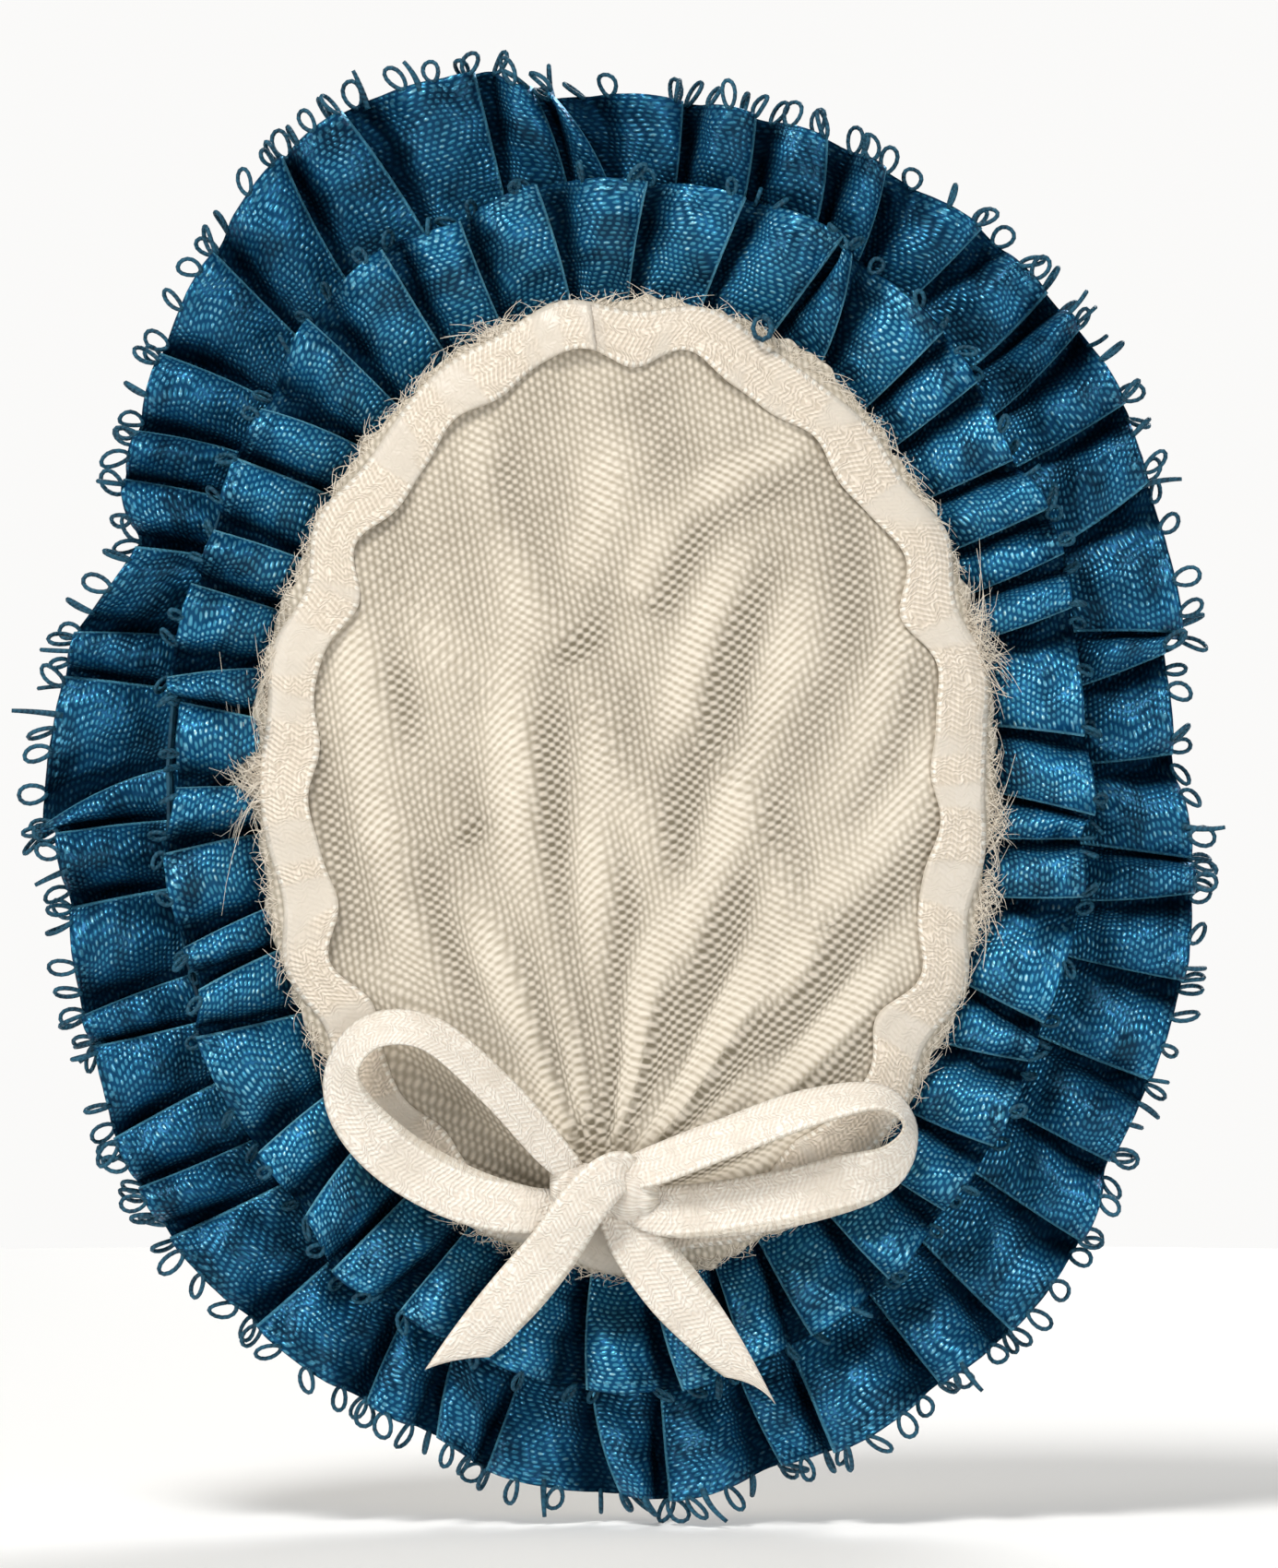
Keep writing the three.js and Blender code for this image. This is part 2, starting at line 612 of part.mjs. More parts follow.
function addPinRivet() {
  const shankHalf = EYE_LENGTH / 2 + LUG_CLEARANCE + LUG_THICKNESS + GAP;
  const outline = [
    [0, -shankHalf - RIVET_HEAD_THICKNESS],
    [RIVET_HEAD_RADIUS, -shankHalf - RIVET_HEAD_THICKNESS],
    [RIVET_HEAD_RADIUS, -shankHalf],
    [RIVET_RADIUS, -shankHalf],
    [RIVET_RADIUS, shankHalf],
    [RIVET_HEAD_RADIUS, shankHalf],
    [RIVET_HEAD_RADIUS, shankHalf + RIVET_HEAD_THICKNESS],
    [0, shankHalf + RIVET_HEAD_THICKNESS],
  ].map(([radius, height]) => new THREE.Vector2(radius, height));
  const rivet = new THREE.LatheGeometry(outline, 16).rotateX(Math.PI / 2);
  add(pinGroup, "pin_rivet", rivet.translate(hingeX, stemY, 0), nickel);
}

function addPinStem() {
  const eyeShape = new THREE.Shape();
  eyeShape.absarc(0, 0, EYE_RADIUS, 0, 2 * Math.PI, false);
  const bore = new THREE.Path();
  bore.absarc(0, 0, RIVET_RADIUS + EYE_BORE_CLEARANCE, 0, 2 * Math.PI, true);
  eyeShape.holes.push(bore);
  const eye = new THREE.ExtrudeGeometry(eyeShape, {
    depth: EYE_LENGTH,
    bevelEnabled: false,
    curveSegments: 12,
  });
  eye.translate(hingeX, stemY, -EYE_LENGTH / 2);

  const wireStart = hingeX + (EYE_RADIUS + RIVET_RADIUS + EYE_BORE_CLEARANCE) / 2;
  const wireEnd = catchEndX + STEM_PAST_CATCH;
  const outline = [
    [0, wireStart],
    [STEM_RADIUS, wireStart],
    [STEM_RADIUS, wireEnd - STEM_POINT],
    [STEM_RADIUS * 0.6, wireEnd - STEM_POINT * 0.35],
    [0, wireEnd],
  ].map(([radius, height]) => new THREE.Vector2(radius, height));
  const wire = new THREE.LatheGeometry(outline, 12).rotateZ(-Math.PI / 2);
  wire.translate(0, stemY, 0);
  add(pinGroup, "pin_stem", joined(eye, wire), nickel);
}

function addCatchSleeve() {
  const outer = CATCH_RADIUS - CATCH_WALL - SLEEVE_CLEARANCE;
  const startX = catchStartX + SLEEVE_END_CLEARANCE;
  const length = CATCH_LENGTH - 2 * SLEEVE_END_CLEARANCE;
  const tube = new THREE.LatheGeometry(
    [
      [SLEEVE_BORE, 0],
      [outer, 0],
      [outer, length],
      [SLEEVE_BORE, length],
      [SLEEVE_BORE, 0],
    ].map(([radius, height]) => new THREE.Vector2(radius, height)),
    28,
  );
  tube.rotateZ(-Math.PI / 2).translate(startX, stemY, 0);
  const slot = new THREE.BoxGeometry(2 * CATCH_LENGTH, outer * 1.5, SLEEVE_SLOT);
  slot.translate(startX, stemY + outer * 0.75, 0);

  const leverFrom = (SLEEVE_BORE + outer) / 2 + GAP;
  const lever = new THREE.BoxGeometry(length * 0.6, LEVER_REACH - leverFrom, LEVER_THICKNESS);
  lever.translate(startX + length / 2, (LEVER_REACH + leverFrom) / 2, 0);
  lever.rotateX(THREE.MathUtils.degToRad(LEVER_ANGLE)).translate(0, stemY, 0);
  const sleeve = toSolid(tube).subtract(toSolid(slot)).add(toSolid(lever));
  add(pinGroup, "catch_sleeve", toGeometry(sleeve), nickel);
}

// The thread that holds the bar down: an arch over it at each sewing hole.
function addLashings() {
  const halfSpan = BAR_WIDTH / 2 + 3 * LASHING_RADIUS;
  const rise = barRearY + 4 * LASHING_RADIUS;
  [["pin_lashing_left", -1], ["pin_lashing_right", 1]].forEach(([name, side]) => {
    const points = Array.from({ length: 13 }, (_, k) => {
      const angle = (Math.PI * k) / 12;
      return new THREE.Vector3(
        side * SEWING_HOLE_X,
        GAP + rise * Math.sin(angle),
        halfSpan * Math.cos(angle),
      );
    });
    const arch = threadAlong(new THREE.CatmullRomCurve3(points), LASHING_RADIUS, 14);
    add(pinGroup, name, arch, ivoryThread);
  });
}

addBack();
addWhipStitching();
addTiers();
addCentre();
addTrim();
addBow();
addPinBar();
addPinRivet();
addPinStem();
addCatchSleeve();
addLashings();

export default rosette;
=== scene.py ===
# %% [markdown]
# An oval award rosette: two tiers of knife-pleated blue picot ribbon are sewn round a card, a
# padded oval of ivory silk is sewn over them, a narrow satin ribbon covers the silk's raw edge
# and is tied in a bow below, and a felt back carries a bar pin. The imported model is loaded
# first, as a fixed frame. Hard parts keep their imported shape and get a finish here. Soft parts
# are only plain solids in the frame, so each is made again as the cloth or thread that it is.

# %% Load the fixed frame
import math

import bpy
import numpy as np
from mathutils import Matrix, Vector


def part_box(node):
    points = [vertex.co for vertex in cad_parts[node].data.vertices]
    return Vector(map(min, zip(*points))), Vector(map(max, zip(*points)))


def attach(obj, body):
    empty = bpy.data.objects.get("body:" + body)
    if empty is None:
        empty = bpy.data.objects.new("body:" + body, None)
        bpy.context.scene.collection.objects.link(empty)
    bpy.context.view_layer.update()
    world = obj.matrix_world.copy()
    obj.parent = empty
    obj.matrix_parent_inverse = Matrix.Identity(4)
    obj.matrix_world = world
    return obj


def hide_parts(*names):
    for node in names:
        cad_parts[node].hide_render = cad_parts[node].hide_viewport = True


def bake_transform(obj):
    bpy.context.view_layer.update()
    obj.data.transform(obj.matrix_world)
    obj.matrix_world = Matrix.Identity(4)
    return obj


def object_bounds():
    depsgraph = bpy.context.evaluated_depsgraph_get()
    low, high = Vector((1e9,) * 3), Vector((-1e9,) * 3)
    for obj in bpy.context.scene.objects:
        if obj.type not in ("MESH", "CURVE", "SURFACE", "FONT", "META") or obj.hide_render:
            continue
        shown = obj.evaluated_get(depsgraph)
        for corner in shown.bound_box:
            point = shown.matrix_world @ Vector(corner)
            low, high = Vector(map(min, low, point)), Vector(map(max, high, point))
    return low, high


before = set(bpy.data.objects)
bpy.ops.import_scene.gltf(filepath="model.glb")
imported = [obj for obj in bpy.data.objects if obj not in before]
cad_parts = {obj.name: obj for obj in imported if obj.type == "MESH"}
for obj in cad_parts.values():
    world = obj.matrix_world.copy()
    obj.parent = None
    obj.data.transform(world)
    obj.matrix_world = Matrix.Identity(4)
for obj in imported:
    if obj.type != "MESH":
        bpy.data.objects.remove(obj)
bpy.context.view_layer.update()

MM = 0.001

# %% [markdown]
# Everything here is worked out as seen from the front, in millimetres: right, up, and towards
# the viewer. Blender wants metres with the front facing -Y, so one function turns the first
# into the second, and no other line has to think about it. The frame says where each piece
# lies, so the ovals of the tiers and of the silk are measured from its boxes.

# %% Measure the frame
def front_box(node):
    """A node's lowest and highest corner as seen from the front: right, up, towards the viewer."""
    low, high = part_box(node)
    near, far = -low.y / MM, -high.y / MM
    return np.array([low.x / MM, low.z / MM, far]), np.array([high.x / MM, high.z / MM, near])


def to_world(points):
    """Front-view millimetres to Blender metres."""
    flat = np.asarray(points, float).reshape(-1, 3)
    return np.stack([flat[:, 0], -flat[:, 2], flat[:, 1]], 1) * MM


class Oval:
    """An oval seen from the front, walked clockwise from its top by share of its length."""

    def __init__(self, centre, half):
        self.centre, self.half = np.array(centre, float), np.array(half, float)
        self.turn = np.linspace(0, 2 * math.pi, 2401)
        x, z = self.half[0] * np.sin(self.turn), self.half[1] * np.cos(self.turn)
        self.walked = np.concatenate([[0], np.cumsum(np.hypot(np.diff(x), np.diff(z)))])
        self.length = self.walked[-1]

    def grown(self, by):
        return Oval(self.centre, self.half + by)

    def share_at(self, degrees):
        """The share of the way round at a clock angle, in degrees from the top."""
        angle = np.radians(degrees)
        turn = np.arctan2(np.sin(angle) * self.half[1], np.cos(angle) * self.half[0])
        return np.interp(turn % (2 * math.pi), self.turn, self.walked) / self.length

    def clock(self, share):
        """The clock angle in degrees at a share of the way round."""
        point, _ = self.at(share)
        along = point - self.centre
        return np.degrees(np.arctan2(along[..., 0], along[..., 1])) % 360

    def at(self, share):
        """The point on the oval and the way out from it."""
        turn = np.interp(np.mod(share, 1) * self.length, self.walked, self.turn)
        sine, cosine = np.sin(turn), np.cos(turn)
        out = np.stack([self.half[1] * sine, self.half[0] * cosine], -1)
        out /= np.linalg.norm(out, axis=-1, keepdims=True)
        return self.centre + np.stack([self.half[0] * sine, self.half[1] * cosine], -1), out


def oval_of(node):
    low, high = front_box(node)
    return Oval((low + high)[:2] / 2, (high - low)[:2] / 2)


PICOT_LENGTH = 1.6
RIBBON_WIDTH = 8.9
rear_inner = oval_of("rear_ruffle_ribbon").grown(-PICOT_LENGTH - RIBBON_WIDTH)
front_inner = oval_of("front_ruffle_ribbon").grown(-PICOT_LENGTH - RIBBON_WIDTH)
silk_edge = oval_of("silk_cover")
for name, oval in dict(rear=rear_inner, front=front_inner, silk=silk_edge).items():
    print(name, "half sizes", oval.half.round(1), "length round", round(oval.length, 1))

# %% [markdown]
# Three kinds of mesh make the whole rosette: a grid of points for cloth, a bundle of tubes for
# thread, and a strip along a path for narrow ribbon. A grid keeps the cloth's own measures with
# it, as an attribute called lay: millimetres along the ribbon, millimetres across it, and how
# near the point is to a fold. The weave is drawn in those measures, so it bends and folds with
# the cloth, which a texture fixed in space would not do.

# %% Mesh helpers
def make_piece(name, points, faces, finish, body, lay=None, thickness=0):
    """A mesh piece that rides on a body, with its cloth measures and an optional thickness."""
    mesh = bpy.data.meshes.new(name)
    mesh.from_pydata(to_world(points).tolist(), [], faces)
    mesh.materials.append(finish)
    mesh.shade_smooth()
    if lay is not None:
        values = mesh.attributes.new("lay", "FLOAT_VECTOR", "POINT")
        values.data.foreach_set("vector", np.asarray(lay, float).ravel())
    piece = bpy.data.objects.new(name, mesh)
    bpy.context.scene.collection.objects.link(piece)
    if thickness:
        solid = piece.modifiers.new("thickness", "SOLIDIFY")
        solid.thickness, solid.offset = thickness * MM, 0
    if body:
        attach(piece, body)
    return piece


def grid_faces(rows, columns, ring=False):
    """Quads of a grid of points; a ring joins the last column to the first."""
    spans = columns if ring else columns - 1
    r, c = np.meshgrid(np.arange(rows - 1), np.arange(spans), indexing="ij")
    n = (c + 1) % columns
    quads = [r * columns + c, r * columns + n, (r + 1) * columns + n, (r + 1) * columns + c]
    return np.stack(quads, -1).reshape(-1, 4).tolist()


def unit(vectors):
    return vectors / np.maximum(np.linalg.norm(vectors, axis=-1, keepdims=True), 1e-9)


def distance_along(path):
    """How far each point of a path is along it."""
    return np.concatenate([[0], np.cumsum(np.linalg.norm(np.diff(path, axis=0), axis=1))])


def square_to(path):
    """Two directions square to a path, and to each other, at each of its points."""
    heading = unit(np.gradient(path, axis=0))
    flat_way = np.linalg.svd(path - path.mean(axis=0), full_matrices=True)[2][-1]
    one = unit(np.cross(heading, flat_way + 1e-4))
    return one, np.cross(heading, one)


print("grid and path helpers ready")


# %% Threads and narrow ribbon
def tube_piece(name, paths, radii, finish, body, sides=6):
    """One mesh of many threads: each path is swept with its own radius, and its ends are closed."""
    points, faces, lay = [], [], []
    around = np.linspace(0, 2 * math.pi, sides, endpoint=False)
    for path, radius in zip(paths, radii):
        first, count = sum(len(p) for p in points), len(path)
        one, two = square_to(path)
        swell = np.broadcast_to(np.asarray(radius, float), (count,))[:, None, None]
        ring = one[:, None] * np.cos(around)[:, None] + two[:, None] * np.sin(around)[:, None]
        points.append((path[:, None] + swell * ring).reshape(-1, 3))
        walked = np.repeat(distance_along(path), sides)
        lay.append(np.stack([walked, np.tile(around, count), 0 * walked], 1))
        for quad in grid_faces(count, sides, ring=True):
            faces.append([first + corner for corner in quad])
        faces.append([first + side for side in reversed(range(sides))])
        faces.append([first + (count - 1) * sides + side for side in range(sides)])
    return make_piece(name, np.vstack(points), faces, finish, body, np.vstack(lay))


def through(knots, count):
    """A smooth curve through knots, whose first three values are a place, evenly sampled."""
    knots = np.asarray(knots, float)
    padded = np.vstack([2 * knots[0] - knots[1], knots, 2 * knots[-1] - knots[-2]])
    t = np.linspace(0, 1, 24, endpoint=False)[:, None]
    spans = [
        0.5 * (2 * b + (c - a) * t + (2 * a - 5 * b + 4 * c - d) * t**2 + (3 * b - a - 3 * c + d) * t**3)
        for a, b, c, d in zip(padded, padded[1:], padded[2:], padded[3:])
    ]
    fine = np.vstack([*spans, knots[-1:]])
    walked = distance_along(fine[:, :3])
    even = np.linspace(0, walked[-1], count)
    return np.stack([np.interp(even, walked, column) for column in fine.T], 1), walked[-1]


def strip_grid(knots, count, rows, crown):
    """A narrow ribbon along knots of place, width and tilt, with its cloth measures."""
    line, length = through(knots, count)
    place, width, tilt = line[:, :3], line[:, 3], np.radians(line[:, 4])
    heading = unit(np.gradient(place, axis=0))
    side = unit(np.cross([0, 0, 1], heading))
    face = np.cross(heading, side)
    cosine, sine = np.cos(tilt)[:, None], np.sin(tilt)[:, None]
    across_way, face_way = side * cosine + face * sine, face * cosine - side * sine
    across = np.linspace(-0.5, 0.5, rows)[:, None, None]
    points = place + across * width[:, None] * across_way + crown * (1 - 4 * across**2) * face_way
    along = np.broadcast_to(np.linspace(0, length, count), (rows, count))
    lay = np.stack([along, (across[:, :, 0] + 0.5) * width, np.zeros((rows, count))], -1)
    return points, lay


def smoothstep(value, low, high):
    share = np.clip((np.asarray(value, float) - low) / (high - low), 0, 1)
    return share * share * (3 - 2 * share)


def two_ply(path, radius, twist):
    """Two strands laid round each other along a path, one turn for each twist millimetres."""
    one, two = square_to(path)
    phase = (2 * math.pi * distance_along(path) / twist)[:, None]
    offset = (one * np.cos(phase) + two * np.sin(phase)) * radius / 2
    return [path + offset, path - offset]


print("thread and ribbon helpers ready")

# %% [markdown]
# A finish is a small network of shader nodes. Writing it as sums keeps it readable: a Wire is
# one socket, and adding or multiplying wires adds a Math node for each sign. Every other node
# comes from one method, which takes the node's type, its settings and what its sockets get.

# %% Shader helpers
def srgb(red, green, blue):
    """A colour as a dyer would name it on a screen, 0 to 255, as Blender's linear colour."""
    linear = [((v / 255 + 0.055) / 1.055) ** 2.4 if v > 10 else v / 255 / 12.92 for v in (red, green, blue)]
    return (*linear, 1)


class Wire:
    """One socket of a finish, which sums turn into Math nodes."""

    def __init__(self, finish, socket):
        self.finish, self.socket = finish, socket

    def math(self, operation, *others):
        return self.finish.node("ShaderNodeMath", {"operation": operation}, dict(enumerate((self, *others))))

    def reflected(self, operation, other):
        return self.finish.node("ShaderNodeMath", {"operation": operation}, {0: other, 1: self})

    def __add__(self, other):
        return self.math("ADD", other)

    def __mul__(self, other):
        return self.math("MULTIPLY", other)

    def __sub__(self, other):
        return self.math("SUBTRACT", other)

    def __rsub__(self, other):
        return self.reflected("SUBTRACT", other)

    def __truediv__(self, other):
        return self.math("DIVIDE", other)

    def __rtruediv__(self, other):
        return self.reflected("DIVIDE", other)

    def __pow__(self, other):
        return self.math("POWER", other)

    def __neg__(self):
        return self * -1.0

    __radd__, __rmul__ = __add__, __mul__

    def floor(self):
        return self.math("FLOOR")

    def fract(self):
        return self.math("FRACT")

    def wave(self):
        """A smooth wave from 0 to 1 and back, once for each whole number."""
        return (self * (2 * math.pi)).math("COSINE") * -0.5 + 0.5

    def zigzag(self):
        """A straight wave from 0 to 1 and back, once for each whole number."""
        return self.math("PINGPONG", 0.5) * 2.0

    def between(self, low, high):
        """0 at low, 1 at high, and smooth between them."""
        ends = {"Value": self, "From Min": low, "From Max": high}
        return self.finish.node("ShaderNodeMapRange", {"interpolation_type": "SMOOTHSTEP"}, ends)


class Finish:
    """A material with one Principled shader, whose constants are set on its own sockets."""

    def __init__(self, name, constants):
        self.material = bpy.data.materials.new(name)
        self.material.use_nodes = True
        self.tree = self.material.node_tree
        self.tree.nodes.clear()
        self.shader = self.tree.nodes.new("ShaderNodeBsdfPrincipled")
        output = self.tree.nodes.new("ShaderNodeOutputMaterial")
        self.tree.links.new(self.shader.outputs["BSDF"], output.inputs["Surface"])
        self.set(self.shader, constants)

    def set(self, node, inputs):
        for socket, value in inputs.items():
            if isinstance(value, Wire):
                self.tree.links.new(value.socket, node.inputs[socket])
            else:
                node.inputs[socket].default_value = value

    def node(self, kind, settings, inputs, take=0):
        made = self.tree.nodes.new(kind)
        for name, value in settings.items():
            setattr(made, name, value)
        self.set(made, inputs)
        return Wire(self, made.outputs[take])

    def feed(self, **wires):
        self.set(self.shader, {name.replace("_", " "): wire for name, wire in wires.items()})

    def split(self, vector):
        return [self.node("ShaderNodeSeparateXYZ", {}, {0: vector}, take) for take in range(3)]

    def lay(self):
        """The cloth's own measures: along, across, fold."""
        measures = self.node("ShaderNodeAttribute", {"attribute_name": "lay"}, {}, "Vector")
        return self.split(measures)

    def space(self):
        """Place on the object in millimetres."""
        place = self.node("ShaderNodeTexCoord", {}, {}, "Object")
        return self.node("ShaderNodeVectorMath", {"operation": "SCALE"}, {0: place, "Scale": 1 / MM})

    def vector(self, *parts):
        return self.node("ShaderNodeCombineXYZ", {}, dict(enumerate(parts)))

    def noise(self, vector, scale, detail=2.0):
        look = {"Vector": vector, "Scale": scale, "Detail": detail}
        return self.node("ShaderNodeTexNoise", {}, look, "Fac")

    def speckle(self, *parts):
        """One random value for each whole-numbered place."""
        place = {"Vector": self.vector(*parts)}
        return self.node("ShaderNodeTexWhiteNoise", {"noise_dimensions": "3D"}, place)

    def mix(self, share, low, high):
        return self.node("ShaderNodeMix", {"data_type": "RGBA"}, {0: share, 6: low, 7: high}, 2)

    def bump(self, height, depth, strength=1.0):
        relief = {"Height": height, "Distance": depth * MM, "Strength": strength}
        return self.node("ShaderNodeBump", {}, relief)


print("shader helpers ready")

# %% [markdown]
# The blue ribbon is a woven satin. Its long floats lie along the ribbon's length in fine rows,
# and each is painted as a short highlight on a deep ground, the glint that it would catch, so the
# cloth glitters in short dashes. The dashes are drawn as cells: a row number across the ribbon, a
# dash number along it, and one random brightness for each pair. The step from row to row turns
# back every few rows, which gives the chevrons of a satin seen close up. Noisy patches of painted
# sheen make the ground and the dashes brighter, and a few cells get near-white painted sparks.
# A line of painted highlight runs along each fold, and the hollow beside it is painted dark as shade.

# %% Blue satin
# Across the ribbon: where its selvedge starts, and one row of floats. Along it: one dash.
SELVEDGE, FLOAT_ROW, FLOAT_DASH = 8.15, 0.29, 0.55


def blue_satin(name, shade):
    finish = Finish(name, {"Specular IOR Level": 0.7, "Specular Tint": srgb(120, 200, 240)})
    along, across, fold = finish.lay()
    cloth = finish.vector(along, across, 0.0)
    drift = finish.noise(cloth, 0.35, 1.0)
    rows = across / FLOAT_ROW + drift * 2.5
    row = rows.floor()
    dashes = along / FLOAT_DASH + (row / 9.0).zigzag() * 3.1 + drift * 3.0
    luck = finish.speckle(row, dashes.floor(), 3.0)
    dash = dashes.fract().wave() * rows.fract().wave()
    # Painted sheen: noisy patches where the ground and the floats' painted glints are brighter.
    patch = finish.noise(finish.vector(along * 0.45, across * 0.8, 7.0), 0.55, 2.0)
    sheen_patches = patch.between(0.3, 0.6)
    # The floats are painted as highlights, brighter in the sheen patches; spark picks a few as near-white
    # painted glints.
    fine = dash.between(0.06, 0.6) * (0.5 + luck * 0.5) * (0.35 + sheen_patches * 0.65)
    spark = dash.between(0.3, 0.9) * luck**5.0 * sheen_patches
    # Painted shade darkens the hollow beside each fold, and a painted highlight lights a line along the fold
    # itself.
    hollow = (-fold).between(0.0, 0.9)
    crease = fold.between(0.5, 0.68)
    in_selvedge = across.between(SELVEDGE, SELVEDGE + 0.12) - across.between(SELVEDGE + 0.2, SELVEDGE + 0.32)
    stitch = (along / 0.8 + drift * 2.0).fract().wave().between(0.5, 0.9) * in_selvedge * (0.2 + luck * 0.8)
    ground = finish.mix(sheen_patches, shade(5, 32, 58), shade(14, 76, 118))
    ground_with_glints = finish.mix(fine, ground, shade(88, 184, 218))
    lit = finish.mix(spark, ground_with_glints, shade(196, 236, 246))
    edged = finish.mix(stitch * 0.8, lit, shade(120, 200, 228))
    crease_highlighted = finish.mix(crease * (0.35 + sheen_patches * 0.4 + luck * 0.25), edged, shade(130, 210, 234))
    hollow_shaded = finish.mix(hollow * 0.85, crease_highlighted, srgb(4, 26, 46))
    rumple = finish.noise(cloth, 0.7, 2.0)
    height = dash * (0.5 + 0.5 * luck) + finish.noise(cloth, 2.2, 2.0) * 0.8 + rumple * 3.5
    rough = 0.37 - fine * 0.06 + hollow * 0.3
    shine = 0.35 + fine * 0.3 + hollow * 0.6
    finish.feed(Base_Color=hollow_shaded, Roughness=rough, Metallic=shine, Normal=finish.bump(height, 0.055))
    return finish.material


def shaded_rear(red, green, blue):
    """The rear ribbon's tones: the front one's, painted darker as the shade of the tier behind."""
    return srgb(red * 0.74, green * 0.82, blue * 0.85)


FRONT_SATIN = blue_satin("blue satin", srgb)
# The rear tier's satin is the front one's with its tones painted darker, as shade.
REAR_SATIN = blue_satin("shaded blue satin", shaded_rear)


def blue_thread():
    finish = Finish("blue thread", {"Specular IOR Level": 0.25})
    along, around, _ = finish.lay()
    twist = (along / 0.35 + around / (2 * math.pi)).wave()
    grain = finish.noise(finish.space(), 1.1)
    colour = finish.mix(twist * 0.4 + grain.between(0.3, 0.7) * 0.6, srgb(9, 46, 64), srgb(36, 92, 116))
    finish.feed(Base_Color=colour, Roughness=0.62 - twist * 0.12, Normal=finish.bump(twist, 0.03))
    return finish.material


BLUE_THREAD = blue_thread()
print("made", FRONT_SATIN.name, REAR_SATIN.name, "and", BLUE_THREAD.name)

# %% [markdown]
# The middle is an ivory silk in a plain weave thick enough to see: raised dots where a warp
# crosses a weft, about two to the millimetre, with darker gaps between them. Two crossed waves
# add up to such a net of dots. Where a wrinkle's slope faces the light from the upper left, the
# weave is painted lighter and the gaps of one wave close, so the dots run together into fine
# slanting lines; slopes that face away are painted darker. Both are painted light and shade.

# %% Ivory silk
# The way and the number of yarns to a millimetre of each crossed wave.
WARP = np.array([1.48, -1.51])
WEFT = np.array([-0.88, -1.87])


def ivory_silk():
    finish = Finish("ivory silk", {"Sheen Weight": 0.1, "Specular IOR Level": 0.5})
    right, up, slope = finish.lay()
    one = right * float(WARP[0]) + up * float(WARP[1])
    two = right * float(WEFT[0]) + up * float(WEFT[1])
    cloth = finish.vector(right, up, 0.0)
    cloud = finish.noise(cloth, 0.09, 2.0)
    # shine is painted light and shade: high on slopes that face the light from the upper left, low on those
    # that face away.
    shine = (slope * 0.5 + 0.5 + (cloud - 0.5) * 0.6).between(0.25, 0.8)
    leaning = finish.noise(finish.vector(right, up, 9.0), 0.07, 1.0).between(0.42, 0.58)
    closed = shine * 0.62
    dots = 1.0 - one.wave() * (1.0 - closed * leaning) - two.wave() * (1.0 - closed * (1.0 - leaning))
    upright = 1.0 - (one - two).wave()
    between = slope.between(-0.35, 0.0) - slope.between(0.0, 0.35)
    weave = (dots * 0.5 + 0.5).between(0.1, 0.95) * (1.0 - between * 0.5) + upright * between * 0.5
    luck = finish.speckle(one.floor(), two.floor(), 1.0)
    # The gaps and the yarns are painted lighter where shine is high and darker where it is low.
    gap = finish.mix(shine, srgb(112, 102, 81), srgb(178, 165, 142))
    yarn = finish.mix(shine, srgb(216, 205, 188), srgb(238, 228, 211))
    colour = finish.mix(weave * (0.8 + luck * 0.2), gap, yarn)
    rough = 0.54 - shine * 0.12
    height = weave + finish.noise(cloth, 1.4, 2.0) * 0.4
    finish.feed(Base_Color=colour, Roughness=rough, Normal=finish.bump(height, 0.035, 0.7))
    return finish.material


IVORY_SILK = ivory_silk()
print("made", IVORY_SILK.name, "with a dot each", round(1 / float(np.linalg.norm(WARP)), 2), "mm")

# %% [markdown]
# The trim and the bow are a narrow double-faced satin ribbon. It shows a fine herringbone
# where its floats stand up and smooth greyish patches where it has been pressed flat, and a
# firm selvedge runs along both edges. Frayed silk, felt, sewing thread, card and wadding need
# less: their look is mostly a soft colour with fibres in it.

# %% Ivory satin, fibres, felt, thread, card and wadding
NARROW_WIDTH = 3.2
# One float along the narrow ribbon, and one rib across it.
NARROW_FLOAT, NARROW_RIB = 0.34, 0.27


